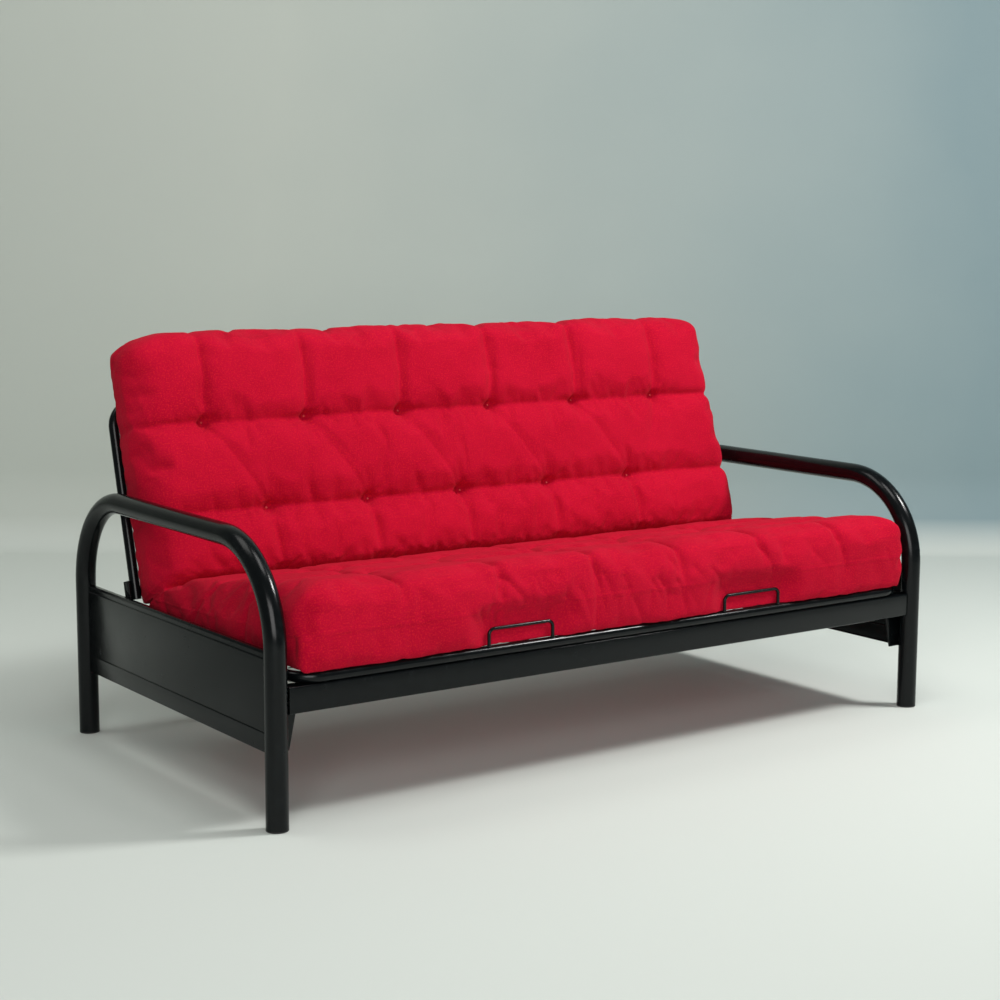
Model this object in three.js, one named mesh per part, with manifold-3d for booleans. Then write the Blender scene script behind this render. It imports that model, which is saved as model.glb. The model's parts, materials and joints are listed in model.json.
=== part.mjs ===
// Futon sofa bed: tubular steel arms, two hinged decks and a folded cotton mattress.
// Millimetres, +Z up, +X to the right-hand arm, +Y to the back.
// The origin is on the floor, in the middle of the four legs.

import * as THREE from 'three';
import { mergeVertices } from 'three/addons/utils/BufferGeometryUtils.js';
import Module from 'manifold-3d';

const wasm = await Module();
wasm.setup();

// ---------------------------------------------------------------------------------------------
// Driving dimensions
// ---------------------------------------------------------------------------------------------

const GAP = 0.3; // air between two pieces that touch

// Arm hoops
const LEG_SPACING_X = 1950; // from hoop to hoop, centre to centre
const LEG_SPACING_Y = 1000; // front leg to rear leg, centre to centre
const ARM_TUBE = 50.8; // outside diameter
const ARM_WALL = 1.6;
const ARM_HEIGHT = 619; // floor to the centreline of the armrest
const ARM_BEND = 225; // centreline radius of the two bends

// Leg glides
const GLIDE_THICKNESS = 3;
const GLIDE_PLUG = 15; // length of the plug inside the leg
const GLIDE_CHAMFER = 1;

// End panels
const PANEL_SHEET = 1.6;
const PANEL_OUTSET = 3; // from the hoop's plane out to the sheet
const PANEL_BOTTOM = 163;
const PANEL_TOP = 386;
const PANEL_GROOVE_HEIGHT = 207; // the pressed line along the foot of the panel
const PANEL_GROOVE_DEPTH = 2.2;
const PANEL_LIP_HEIGHT = 15; // the strip over the upper pressed line
const PANEL_LIP_WIDTH = 17; // how far the rolled top edge turns in
const PANEL_HEM = 9; // the folded bottom edge

// Rails
const RAIL_HEIGHT = 60;
const RAIL_DEPTH = 40;
const RAIL_WALL = 2;
const RAIL_CORNER = 4;
const FRONT_RAIL_TOP = 315;
const REAR_RAIL_TOP = 230;

// Corner brackets between end panel and rail
const BRACKET_SHEET = 3.5;
const BRACKET_REACH = 37.6; // past the inner side of the leg
const BRACKET_TAPER = 18; // how much narrower the foot is
const BRACKET_TAPER_HEIGHT = 87; // from the foot up to the full width
const BRACKET_FLANGE = 34; // along the end panel
const BRACKET_TOP_DROP = 3; // below the top of the rail
const RAIL_BOLT = 8;
const RAIL_BOLT_LENGTH = 18;
const RAIL_BOLT_HEAD = 5.3;
const RAIL_BOLT_PITCH = 28;
const RAIL_BOLT_INSET = 19; // from the inner side of the leg

// Decks
const DECK_TUBE = 25.4;
const DECK_WALL = 1.2;
const DECK_BEND = 60; // centreline radius of the deck corners
const DECK_CLEARANCE = 14.9; // arm hoop to deck side tube
const DECK_FORWARD = 7; // front tube ahead of the front legs' centres
const SUPPORT_TUBE = 19;
const SUPPORT_WALL = 1.2;
const SUPPORT_SPACING = 610; // between the two support tubes of a deck
const TUBE_END = 45; // from the pivot to the ends of the side tubes
const CROSS_TUBE = 65; // from the pivot to the cross tube of a deck
const BACK_LENGTH = 537; // from the pivot to the top tube's centreline
const BACK_LEAN = 15; // degrees behind upright, as a sofa

// Wire grids
const WIRE = 2.8;
const GRID_COLUMNS = 11;
const GRID_ROWS = 5;
const GRID_MARGIN = 72; // side tube to the outermost lengthwise wire
const GRID_START = 40; // cross tube to the first crosswise wire
const GRID_DROP = 0.1; // the top of the grid under the top of the deck tubes

// Mattress retainers
const RETAINER_WIRE = 8;
const RETAINER_HEIGHT = 44; // over the front tube
const RETAINER_WIDTH = 190;
const RETAINER_SPACING = 720;
const RETAINER_SHIFT = 24; // the pair's middle, right of the deck's middle
const RETAINER_BEND = 14;
const RETAINER_FORWARD = 5; // ahead of the front tube's centreline

// Hinges
const PIVOT_INSET = 200; // pivot ahead of the rear legs' centres
const PIVOT_BOLT = 10;
const PIVOT_BOLT_HEAD = 6.4;
const PIVOT_NUT = 8;
const HOLE_CLEARANCE = 0.6; // diameter of a hole over its bolt
const HINGE_PLATE = 4;
const HINGE_WASHER = 1.4;
const WASHER_RADIUS = 12;
const SEAT_PLATE_RADIUS = 28;
const SEAT_PLATE_LENGTH = 150; // from the pivot along the side tube
const BACK_PLATE_LENGTH = 92;
const BACK_PLATE_WIDTH = 28;
const BACK_PAD_WIDTH = 18;
const RATCHET_ROOT = 30;
const RATCHET_TIP = 34;
const RATCHET_TEETH = 7;
const RATCHET_START = 160; // degrees, first tooth, from the back deck's rearward axis
const RATCHET_SWEEP = 85;
const PAWL_ARM = 60; // pivot bolt to pawl rivet
const PAWL_ANGLE = 150; // degrees, direction of the pawl rivet
const PAWL_NOSE_ANGLE = 135;
const PAWL_NOSE = 2.5; // radius of the nose
const PAWL_CLEARANCE = 0.8; // nose to the ratchet's teeth
const PAWL_RADIUS = 9;
const PAWL_RIVET = 6;
const PAWL_BOSS = 12; // radius of the seat plate round the rivet
const RIVET_HEAD_RADIUS = 5;
const RIVET_HEAD = 2;
const PIVOT_BRACKET_SHEET = 3;
const PIVOT_BRACKET_HEIGHT = 60;
const PIVOT_BRACKET_CROWN = 36; // flat width under the washer
const PIVOT_BRACKET_SLOPE = 8;
const PIVOT_BRACKET_FLANGE = 24;

// Mattress
const MATTRESS_INSET = 60; // from the plane of an arm hoop in to the side of the mattress
const MATTRESS_FRONT = 192; // thickness at the front edge of the seat
const MATTRESS_FRONT_ROUND = 30;
const MATTRESS_REST = 0.8; // air over the deck tubes
const MATTRESS_STEP = 11; // the front bulges this far over the retainers
const FOLD_AHEAD = 159; // fold line ahead of the pivot
const FOLD_RISE = 103; // fold line over the pivot
const FOLD_GAP = 4;
const BACK_THICKNESS_LOW = 184; // from the deck's plane to the sitting face
const BACK_THICKNESS_HIGH = 164;
const BACK_OVERHANG = 153; // mattress past the top tube
const BACK_FLOP = 14; // the free top edge leans behind the mattress's back face
const BACK_ROUND = 40;

// Facets
const ARM_SIDES = 16;
const DECK_SIDES = 12;
const WIRE_SIDES = 8;
const ARM_BEND_STEPS = 9;
const SMALL_BEND_STEPS = 4;

// ---------------------------------------------------------------------------------------------
// Places worked out from the driving dimensions
// ---------------------------------------------------------------------------------------------

const legX = LEG_SPACING_X / 2;
const legY = LEG_SPACING_Y / 2;
const armRadius = ARM_TUBE / 2;
const armInner = legX - armRadius;
const legInnerY = legY - armRadius;

const deckRadius = DECK_TUBE / 2;
const deckOuter = armInner - DECK_CLEARANCE;
const deckX = deckOuter - deckRadius;
const deckFrontY = -(legY + DECK_FORWARD);
const supportX = SUPPORT_SPACING / 2;
const gridLow = deckRadius - GRID_DROP - WIRE;
const supportZ = gridLow - GAP - SUPPORT_TUBE / 2;

const pivotY = legY - PIVOT_INSET;
const pivotZ = FRONT_RAIL_TOP + GAP + deckRadius;
const seatDepth = pivotY - deckFrontY;
const lean = THREE.MathUtils.degToRad(BACK_LEAN);

const panelX = legX + PANEL_OUTSET;
const panelInner = panelX - PANEL_SHEET / 2;

const seatPlateX = deckOuter + GAP;
const innerWasherX = seatPlateX + HINGE_PLATE + GAP;
const backPlateX = innerWasherX + HINGE_WASHER + GAP;
const outerWasherX = backPlateX + HINGE_PLATE + GAP;
const pivotBracketX = outerWasherX + HINGE_WASHER + GAP;
const pivotNutX = pivotBracketX + PIVOT_BRACKET_SHEET + GAP;

// ---------------------------------------------------------------------------------------------
// Materials
// ---------------------------------------------------------------------------------------------

function finish(color, roughness, metalness) {
  return () => new THREE.MeshStandardMaterial({ color, roughness, metalness });
}

const blackEnamel = finish(0x14181a, 0.25, 0.3);
const blackPlastic = finish(0x101112, 0.6, 0);
const zincPlate = finish(0xb4b8bb, 0.35, 0.9);
const nylon = finish(0xe6e2d6, 0.5, 0);
const redCotton = finish(0xc8102c, 0.9, 0);

// ---------------------------------------------------------------------------------------------
// Geometry helpers
// ---------------------------------------------------------------------------------------------

const AXIS_X = new THREE.Vector3(1, 0, 0);
const AXIS_Y = new THREE.Vector3(0, 1, 0);
const AXIS_Z = new THREE.Vector3(0, 0, 1);

function piece(parent, name, geometry, material) {
  const mesh = new THREE.Mesh(geometry, material());
  mesh.name = name;
  parent.add(mesh);
  return mesh;
}

function polar(radius, degrees) {
  const angle = THREE.MathUtils.degToRad(degrees);
  return new THREE.Vector2(radius * Math.cos(angle), radius * Math.sin(angle));
}

// Ascending pair of places along X, for the piece at +x or its mirror image.
function spanX(side, from, to) {
  return side > 0 ? [from, to] : [-to, -from];
}

// A shape drawn in (Y, Z), given its thickness along X.
function plateAcrossX(shape, [from, to], curveSegments = 6) {
  const geometry = new THREE.ExtrudeGeometry(shape, {
    depth: to - from,
    bevelEnabled: false,
    curveSegments,
  });
  geometry.applyMatrix4(new THREE.Matrix4().makeBasis(AXIS_Y, AXIS_Z, AXIS_X));
  geometry.translate(from, 0, 0);
  return geometry;
}

// A shape drawn in (X, Z), given its thickness along Y.
function plateAcrossY(shape, [from, to], curveSegments = 6) {
  const geometry = new THREE.ExtrudeGeometry(shape, {
    depth: to - from,
    bevelEnabled: false,
    curveSegments,
  });
  geometry.rotateX(Math.PI / 2);
  geometry.translate(0, to, 0);
  return geometry;
}

// A shape drawn in (X, Y), given its thickness along Z.
function plateAcrossZ(shape, [from, to], curveSegments = 6) {
  const geometry = new THREE.ExtrudeGeometry(shape, {
    depth: to - from,
    bevelEnabled: false,
    curveSegments,
  });
  geometry.translate(0, 0, from);
  return geometry;
}

function outline(points) {
  return new THREE.Shape(points.map(([x, y]) => new THREE.Vector2(x, y)));
}

function disc(radius, x = 0, y = 0) {
  return new THREE.Shape().absarc(x, y, radius, 0, 2 * Math.PI, false);
}

function ring(outer, inner) {
  const shape = disc(outer);
  shape.holes.push(new THREE.Path().absarc(0, 0, inner, 0, 2 * Math.PI, true));
  return shape;
}

function hexagon(acrossFlats) {
  const radius = acrossFlats / Math.sqrt(3);
  return outline([0, 1, 2, 3, 4, 5].map((i) => polar(radius, 60 * i).toArray()));
}

// Sheet metal seen end on: a line of bends, thickened by half the sheet on each side.
function bentSheet(points, thickness) {
  const corners = points.map(([x, y]) => new THREE.Vector2(x, y));
  const offset = (index, side) => {
    const here = corners[index];
    const before = corners[Math.max(index - 1, 0)];
    const after = corners[Math.min(index + 1, corners.length - 1)];
    const inward = (index === 0 ? after.clone().sub(here) : here.clone().sub(before)).normalize();
    const outward = (index === corners.length - 1 ? inward : after.clone().sub(here)).clone().normalize();
    const normal = new THREE.Vector2(-inward.y - outward.y, inward.x + outward.x).normalize();
    const mitre = normal.dot(new THREE.Vector2(-inward.y, inward.x));
    return here.clone().addScaledVector(normal, (side * thickness) / (2 * mitre));
  };
  const left = corners.map((_, index) => offset(index, 1));
  const right = corners.map((_, index) => offset(index, -1)).reverse();
  return new THREE.Shape([...left, ...right]);
}

// A path through given stations, so that the sweep keeps the true bends.
class BentPath extends THREE.Curve {
  constructor(stations) {
    super();
    this.stations = stations;
  }

  station(u) {
    return this.stations[Math.round(u * (this.stations.length - 1))];
  }

  getPoint(t) {
    return this.station(t).point.clone();
  }

  getPointAt(u) {
    return this.station(u).point.clone();
  }

  getTangentAt(u) {
    return this.station(u).tangent.clone();
  }
}

// Straight runs between corners, joined by bends of one centreline radius.
function bentPath(corners, radius, steps) {
  const direction = (i) => corners[i + 1].clone().sub(corners[i]).normalize();
  const stations = [{ point: corners[0], tangent: direction(0) }];
  for (let i = 1; i < corners.length - 1; i += 1) {
    const into = direction(i - 1);
    const out = direction(i);
    const turn = into.angleTo(out);
    const setback = radius * Math.tan(turn / 2);
    const start = corners[i].clone().addScaledVector(into, -setback);
    const axis = into.clone().cross(out).normalize();
    const centre = start.clone().addScaledVector(axis.clone().cross(into), radius);
    for (let step = 0; step <= steps; step += 1) {
      const spin = (turn * step) / steps;
      const arm = start.clone().sub(centre).applyAxisAngle(axis, spin);
      stations.push({ point: centre.clone().add(arm), tangent: into.clone().applyAxisAngle(axis, spin) });
    }
  }
  stations.push({ point: corners.at(-1), tangent: direction(corners.length - 2) });
  return new BentPath(stations);
}

function sweep(section, path, sides) {
  return new THREE.ExtrudeGeometry(section, {
    extrudePath: path,
    steps: path.stations.length - 1,
    curveSegments: sides / 2,
  });
}

function toSolid(geometry) {
  const plain = geometry.clone();
  plain.deleteAttribute('normal');
  plain.deleteAttribute('uv');
  const merged = mergeVertices(plain, 1e-4);
  return new wasm.Manifold(
    new wasm.Mesh({
      numProp: 3,
      vertProperties: new Float32Array(merged.attributes.position.array),
      triVerts: new Uint32Array(merged.index.array),
    }),
  );
}

function toGeometry(solid) {
  const mesh = solid.getMesh();
  const geometry = new THREE.BufferGeometry();
  geometry.setAttribute('position', new THREE.BufferAttribute(new Float32Array(mesh.vertProperties), 3));
  geometry.setIndex(new THREE.BufferAttribute(new Uint32Array(mesh.triVerts), 1));
  geometry.computeVertexNormals();
  return geometry;
}

function join(...geometries) {
  return toGeometry(geometries.map(toSolid).reduce((whole, next) => whole.add(next)));
}

function cut(geometry, ...tools) {
  return toGeometry(tools.map(toSolid).reduce((whole, tool) => whole.subtract(tool), toSolid(geometry)));
}

function sideName(side) {
  return side > 0 ? 'right' : 'left';
}

// ---------------------------------------------------------------------------------------------
// Arms: hoops, glides, end panels
// ---------------------------------------------------------------------------------------------

function armHoop(side) {
  const x = side * legX;
  const foot = GLIDE_THICKNESS + GAP;
  const corners = [
    new THREE.Vector3(x, -legY, foot),
    new THREE.Vector3(x, -legY, ARM_HEIGHT),
    new THREE.Vector3(x, legY, ARM_HEIGHT),
    new THREE.Vector3(x, legY, foot),
  ];
  const path = bentPath(corners, ARM_BEND, ARM_BEND_STEPS);
  return sweep(ring(armRadius, armRadius - ARM_WALL), path, ARM_SIDES);
}

function legGlide() {
  const plug = armRadius - ARM_WALL - 1;
  const profile = [
    [0, 0],
    [armRadius - GLIDE_CHAMFER, 0],
    [armRadius, GLIDE_CHAMFER],
    [armRadius, GLIDE_THICKNESS],
    [plug, GLIDE_THICKNESS],
    [plug, GLIDE_THICKNESS + GLIDE_PLUG],
    [0, GLIDE_THICKNESS + GLIDE_PLUG],
  ].map(([radius, height]) => new THREE.Vector2(radius, height));
  const geometry = new THREE.LatheGeometry(profile, ARM_SIDES);
  geometry.rotateX(Math.PI / 2);
  return geometry;
}

// The sheet's section in (X, Z), from the folded foot up to the rolled lip.
function endPanelSection(side) {
  const lipLine = PANEL_TOP - PANEL_LIP_HEIGHT;
  const lipInner = panelX - PANEL_LIP_WIDTH;
  const top = PANEL_TOP - PANEL_SHEET / 2;
  const bottom = PANEL_BOTTOM + PANEL_SHEET / 2;
  const groove = PANEL_GROOVE_DEPTH;
  const points = [
    [panelX - PANEL_HEM, bottom],
    [panelX, bottom],
    [panelX, PANEL_GROOVE_HEIGHT - groove],
    [panelX - groove, PANEL_GROOVE_HEIGHT],
    [panelX, PANEL_GROOVE_HEIGHT + groove],
    [panelX, lipLine - groove],
    [panelX - groove, lipLine],
    [panelX - groove, top - 2 * groove],
    [panelX - 2.5 * groove, top],
    [lipInner + groove, top],
    [lipInner, top - groove],
    [lipInner, lipLine],
  ];
  return bentSheet(points.map(([x, z]) => [side * x, z]), PANEL_SHEET);
}

function endPanel(side) {
  return plateAcrossY(endPanelSection(side), [-legInnerY + GAP, legInnerY - GAP]);
}

function addArms(frame) {
  for (const side of [-1, 1]) {
    const name = sideName(side);
    piece(frame, `${name}_arm_hoop`, armHoop(side), blackEnamel);
    piece(frame, `${name}_end_panel`, endPanel(side), blackEnamel);
    for (const end of [-1, 1]) {
      const place = end > 0 ? 'rear' : 'front';
      const glide = piece(frame, `${place}_${name}_leg_glide`, legGlide(), blackPlastic);
      glide.position.set(side * legX, end * legY, 0);
    }
  }
}

// ---------------------------------------------------------------------------------------------
// Rails, corner brackets and their bolts
// ---------------------------------------------------------------------------------------------

function roundedBox(shape, y0, z0, y1, z1, r) {
  shape.moveTo(y0 + r, z0);
  shape.lineTo(y1 - r, z0);
  shape.absarc(y1 - r, z0 + r, r, -Math.PI / 2, 0, false);
  shape.absarc(y1 - r, z1 - r, r, 0, Math.PI / 2, false);
  shape.absarc(y0 + r, z1 - r, r, Math.PI / 2, Math.PI, false);
  shape.absarc(y0 + r, z0 + r, r, Math.PI, 1.5 * Math.PI, false);
  return shape;
}

// Heights of the two bolts at each end of a rail.
function railBoltHeights(railTop) {
  const middle = railTop - RAIL_HEIGHT / 2;
  return [middle - RAIL_BOLT_PITCH / 2, middle + RAIL_BOLT_PITCH / 2];
}

function boltHoles(railTop, radius, yFrom, yTo) {
  const holes = [];
  for (const side of [-1, 1]) {
    for (const height of railBoltHeights(railTop)) {
      const shape = disc(radius, side * (armInner - RAIL_BOLT_INSET), height);
      holes.push(plateAcrossY(shape, [yFrom, yTo], 5));
    }
  }
  return holes;
}

const railHole = (RAIL_BOLT + HOLE_CLEARANCE) / 2;

// A hollow rectangular tube: end -1 is the front rail, +1 the rear rail.
function rail(end, top) {
  const inside = end * legInnerY;
  const outside = end * (legInnerY + RAIL_DEPTH);
  const [y0, y1] = [Math.min(inside, outside), Math.max(inside, outside)];
  const shape = roundedBox(new THREE.Shape(), y0, top - RAIL_HEIGHT, y1, top, RAIL_CORNER);
  const w = RAIL_WALL;
  const bore = roundedBox(new THREE.Path(), y0 + w, top - RAIL_HEIGHT + w, y1 - w, top - w, RAIL_CORNER - w);
  shape.holes.push(bore);
  const tube = plateAcrossX(shape, [-armInner + GAP, armInner - GAP], 2);
  const middle = end * (legInnerY + RAIL_DEPTH / 2);
  const reach = end * (legInnerY - 1);
  return cut(tube, ...boltHoles(top, railHole, Math.min(middle, reach), Math.max(middle, reach)));
}

// An angle of sheet steel: one leaf behind the rail, one along the end panel.
function cornerBracket(side, end, railTop, tapered) {
  const face = legInnerY - GAP;
  const outerX = panelX - PANEL_GROOVE_DEPTH - PANEL_SHEET - GAP;
  const innerX = armInner - BRACKET_REACH;
  const back = face - BRACKET_SHEET;
  const angle = [
    [innerX, face],
    [outerX, face],
    [outerX, face - BRACKET_FLANGE],
    [outerX - BRACKET_SHEET, face - BRACKET_FLANGE],
    [outerX - BRACKET_SHEET, back],
    [innerX, back],
  ].map(([x, y]) => [side * x, end * y]);
  const top = railTop - BRACKET_TOP_DROP;
  const body = plateAcrossZ(outline(angle), [PANEL_BOTTOM + PANEL_SHEET + GAP, top]);
  const trims = [];
  if (tapered) {
    const wedge = outline([
      [innerX - 1, PANEL_BOTTOM],
      [innerX + BRACKET_TAPER, PANEL_BOTTOM],
      [innerX, PANEL_BOTTOM + BRACKET_TAPER_HEIGHT],
      [innerX - 1, PANEL_BOTTOM + BRACKET_TAPER_HEIGHT],
    ].map(([x, z]) => [side * x, z]));
    const depth = [end * (face + 1), end * (back - 1)].sort((a, b) => a - b);
    trims.push(plateAcrossY(wedge, depth));
  }
  const holeDepth = [end * (face + 1), end * (back - 1)].sort((a, b) => a - b);
  return cut(body, ...trims, ...boltHoles(railTop, railHole, ...holeDepth));
}

// The head lies behind the bracket and the shank runs through it into the rail.
function railBolt(side, end, height) {
  const x = side * (armInner - RAIL_BOLT_INSET);
  const headTop = legInnerY - GAP - BRACKET_SHEET - GAP;
  const head = plateAcrossY(hexagon(1.6 * RAIL_BOLT), [0, RAIL_BOLT_HEAD]);
  const shank = plateAcrossY(disc(RAIL_BOLT / 2), [RAIL_BOLT_HEAD - 1, RAIL_BOLT_HEAD + RAIL_BOLT_LENGTH], 5);
  const bolt = join(head, shank);
  if (end < 0) {
    bolt.rotateZ(Math.PI);
  }
  bolt.translate(x, end * (headTop - RAIL_BOLT_HEAD), height);
  return bolt;
}

function addRails(frame) {
  for (const [end, place, top] of [[-1, 'front', FRONT_RAIL_TOP], [1, 'rear', REAR_RAIL_TOP]]) {
    piece(frame, `${place}_rail`, rail(end, top), blackEnamel);
    for (const side of [-1, 1]) {
      const name = `${place}_${sideName(side)}`;
      piece(frame, `${name}_corner_bracket`, cornerBracket(side, end, top, end < 0), blackEnamel);
      railBoltHeights(top).forEach((height, index) => {
        const level = index === 0 ? 'lower' : 'upper';
        piece(frame, `${name}_rail_bolt_${level}`, railBolt(side, end, height), zincPlate);
      });
    }
  }
}

// ---------------------------------------------------------------------------------------------
// Hinges: what stays on the arms
// ---------------------------------------------------------------------------------------------

const pivotHole = (PIVOT_BOLT + HOLE_CLEARANCE) / 2;

// A top-hat bracket on the end panel, its crown carrying the pivot bolt.
function pivotBracket(side) {
  const crown = pivotBracketX + PIVOT_BRACKET_SHEET / 2;
  const base = panelInner - GAP - PIVOT_BRACKET_SHEET / 2;
  const halfCrown = PIVOT_BRACKET_CROWN / 2;
  const halfBase = halfCrown + PIVOT_BRACKET_SLOPE;
  const section = bentSheet([
    [side * base, -halfBase - PIVOT_BRACKET_FLANGE],
    [side * base, -halfBase],
    [side * crown, -halfCrown],
    [side * crown, halfCrown],
    [side * base, halfBase],
    [side * base, halfBase + PIVOT_BRACKET_FLANGE],
  ], PIVOT_BRACKET_SHEET);
  const half = PIVOT_BRACKET_HEIGHT / 2;
  const body = plateAcrossZ(section, [-half, half]);
  const hole = plateAcrossX(disc(pivotHole), spanX(side, pivotBracketX - 1, pivotNutX + 1));
  return cut(body, hole);
}

function pivotBolt(side) {
  const headEnd = seatPlateX - GAP;
  const head = plateAcrossX(hexagon(1.6 * PIVOT_BOLT), spanX(side, headEnd - PIVOT_BOLT_HEAD, headEnd));
  const tip = pivotNutX + PIVOT_NUT + 2;
  const shank = plateAcrossX(disc(PIVOT_BOLT / 2), spanX(side, headEnd - 1, tip));
  return join(head, shank);
}

function ringAcrossX(side, outer, inner, from, thickness) {
  return plateAcrossX(ring(outer, inner), spanX(side, from, from + thickness));
}

function pivotNut(side) {
  const shape = hexagon(1.6 * PIVOT_BOLT);
  shape.holes.push(new THREE.Path().absarc(0, 0, pivotHole, 0, 2 * Math.PI, true));
  return plateAcrossX(shape, spanX(side, pivotNutX, pivotNutX + PIVOT_NUT));
}

function addPivots(frame) {
  const pivots = new THREE.Group();
  pivots.position.set(0, pivotY, pivotZ);
  frame.add(pivots);
  for (const side of [-1, 1]) {
    const name = sideName(side);
    const washer = (from) => ringAcrossX(side, WASHER_RADIUS, pivotHole, from, HINGE_WASHER);
    piece(pivots, `${name}_pivot_bracket`, pivotBracket(side), blackEnamel);
    piece(pivots, `${name}_pivot_bolt`, pivotBolt(side), zincPlate);
    piece(pivots, `${name}_pivot_nut`, pivotNut(side), zincPlate);
    piece(pivots, `${name}_inner_washer`, washer(innerWasherX), nylon);
    piece(pivots, `${name}_outer_washer`, washer(outerWasherX), nylon);
  }
}

// ---------------------------------------------------------------------------------------------
// Decks: bent frames, cross tubes, wire grids (both drawn flat, in (X, Y), hinge line on Y = 0)
// ---------------------------------------------------------------------------------------------

const deckSection = ring(deckRadius, deckRadius - DECK_WALL);

// A U of tube, its two ends at the hinge and its closed end at the given reach.
function deckLoop(reach) {
  const corners = [
    new THREE.Vector3(-deckX, TUBE_END, 0),
    new THREE.Vector3(-deckX, reach, 0),
    new THREE.Vector3(deckX, reach, 0),
    new THREE.Vector3(deckX, TUBE_END, 0),
  ];
  return sweep(deckSection, bentPath(corners, DECK_BEND, SMALL_BEND_STEPS), DECK_SIDES);
}

function crossTube() {
  const end = deckX - deckRadius - GAP;
  return plateAcrossX(deckSection, [-end, end], DECK_SIDES / 2);
}

// A support tube from the cross tube to the far tube of the loop.
function supportTube(reach) {
  const section = ring(SUPPORT_TUBE / 2, SUPPORT_TUBE / 2 - SUPPORT_WALL);
  return plateAcrossY(section, [CROSS_TUBE + deckRadius + GAP, reach - deckRadius - GAP], DECK_SIDES / 2);
}

// Breaks along one axis: each wire lies between an odd break and the next even one.
function wireBreaks(from, centres, to) {
  return [from, ...centres.flatMap((centre) => [centre - WIRE / 2, centre + WIRE / 2]), to];
}

function evenly(from, to, count) {
  return Array.from({ length: count }, (_, index) => from + ((to - from) * index) / (count - 1));
}

// A flat sheet of square-cut cells: one closed surface round every cell that is filled.
function cellSheet(xs, ys, filled, low, high) {
  const positions = [];
  const quad = (a, b, c, d) => positions.push(...a, ...b, ...c, ...a, ...c, ...d);
  const solid = (i, j) => i >= 0 && j >= 0 && i < xs.length - 1 && j < ys.length - 1 && filled(i, j);
  for (let i = 0; i < xs.length - 1; i += 1) {
    for (let j = 0; j < ys.length - 1; j += 1) {
      if (!solid(i, j)) continue;
      const [x0, x1, y0, y1] = [xs[i], xs[i + 1], ys[j], ys[j + 1]];
      quad([x0, y0, high], [x1, y0, high], [x1, y1, high], [x0, y1, high]);
      quad([x0, y0, low], [x0, y1, low], [x1, y1, low], [x1, y0, low]);
      if (!solid(i, j - 1)) quad([x0, y0, low], [x1, y0, low], [x1, y0, high], [x0, y0, high]);
      if (!solid(i + 1, j)) quad([x1, y0, low], [x1, y1, low], [x1, y1, high], [x1, y0, high]);
      if (!solid(i, j + 1)) quad([x1, y1, low], [x0, y1, low], [x0, y1, high], [x1, y1, high]);
      if (!solid(i - 1, j)) quad([x0, y1, low], [x0, y0, low], [x0, y0, high], [x0, y1, high]);
    }
  }
  const geometry = new THREE.BufferGeometry();
  geometry.setAttribute('position', new THREE.Float32BufferAttribute(positions, 3));
  return mergeVertices(geometry);
}

// Crossing wires, welded into one grid that lies over the support tubes.
function wireGrid(reach) {
  const shoulder = Math.sqrt(deckRadius ** 2 - gridLow ** 2) + GAP;
  const [near, far] = [CROSS_TUBE + shoulder, reach - shoulder];
  const sideEnd = deckX - shoulder;
  const lastX = deckX - GRID_MARGIN;
  const columns = evenly(-lastX, lastX, GRID_COLUMNS);
  const rows = evenly(near + GRID_START, reach - DECK_BEND - WIRE, GRID_ROWS);
  const xs = wireBreaks(-sideEnd, columns, sideEnd);
  const ys = wireBreaks(near, rows, far);
  return cellSheet(xs, ys, (i, j) => i % 2 === 1 || j % 2 === 1, gridLow, gridLow + WIRE);
}

function addDeck(deck, name, reach) {
  piece(deck, `${name}_frame_tube`, deckLoop(reach), blackEnamel);
  piece(deck, `${name}_cross_tube`, crossTube(), blackEnamel).position.y = CROSS_TUBE;
  piece(deck, `${name}_wire_grid`, wireGrid(reach), blackEnamel);
  for (const side of [-1, 1]) {
    const tube = piece(deck, `${name}_${sideName(side)}_support_tube`, supportTube(reach), blackEnamel);
    tube.position.set(side * supportX, 0, supportZ);
  }
}

// ---------------------------------------------------------------------------------------------
// Seat deck
// ---------------------------------------------------------------------------------------------

const rivetHole = (PAWL_RIVET + HOLE_CLEARANCE) / 2;
const pawlPin = polar(PAWL_ARM, PAWL_ANGLE);

// Seen from the end, pivot at (0, 0): a strap along the side tube with an eye and a pawl boss.
function seatPlateShape() {
  const half = deckRadius + GAP;
  const shape = new THREE.Shape();
  shape.moveTo(-SEAT_PLATE_LENGTH, -half);
  shape.lineTo(-SEAT_PLATE_RADIUS - half, -half);
  shape.lineTo(-SEAT_PLATE_RADIUS / 2, -SEAT_PLATE_RADIUS);
  shape.lineTo(0, -SEAT_PLATE_RADIUS);
  shape.absarc(0, 0, SEAT_PLATE_RADIUS, -Math.PI / 2, Math.PI / 2, false);
  shape.lineTo(pawlPin.x, pawlPin.y + PAWL_BOSS);
  shape.absarc(pawlPin.x, pawlPin.y, PAWL_BOSS, Math.PI / 2, Math.PI, false);
  shape.lineTo(pawlPin.x - PAWL_BOSS, half);
  shape.lineTo(-SEAT_PLATE_LENGTH, half);
  shape.holes.push(new THREE.Path().absarc(0, 0, pivotHole, 0, 2 * Math.PI, true));
  shape.holes.push(new THREE.Path().absarc(pawlPin.x, pawlPin.y, rivetHole, 0, 2 * Math.PI, true));
  return shape;
}

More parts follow.
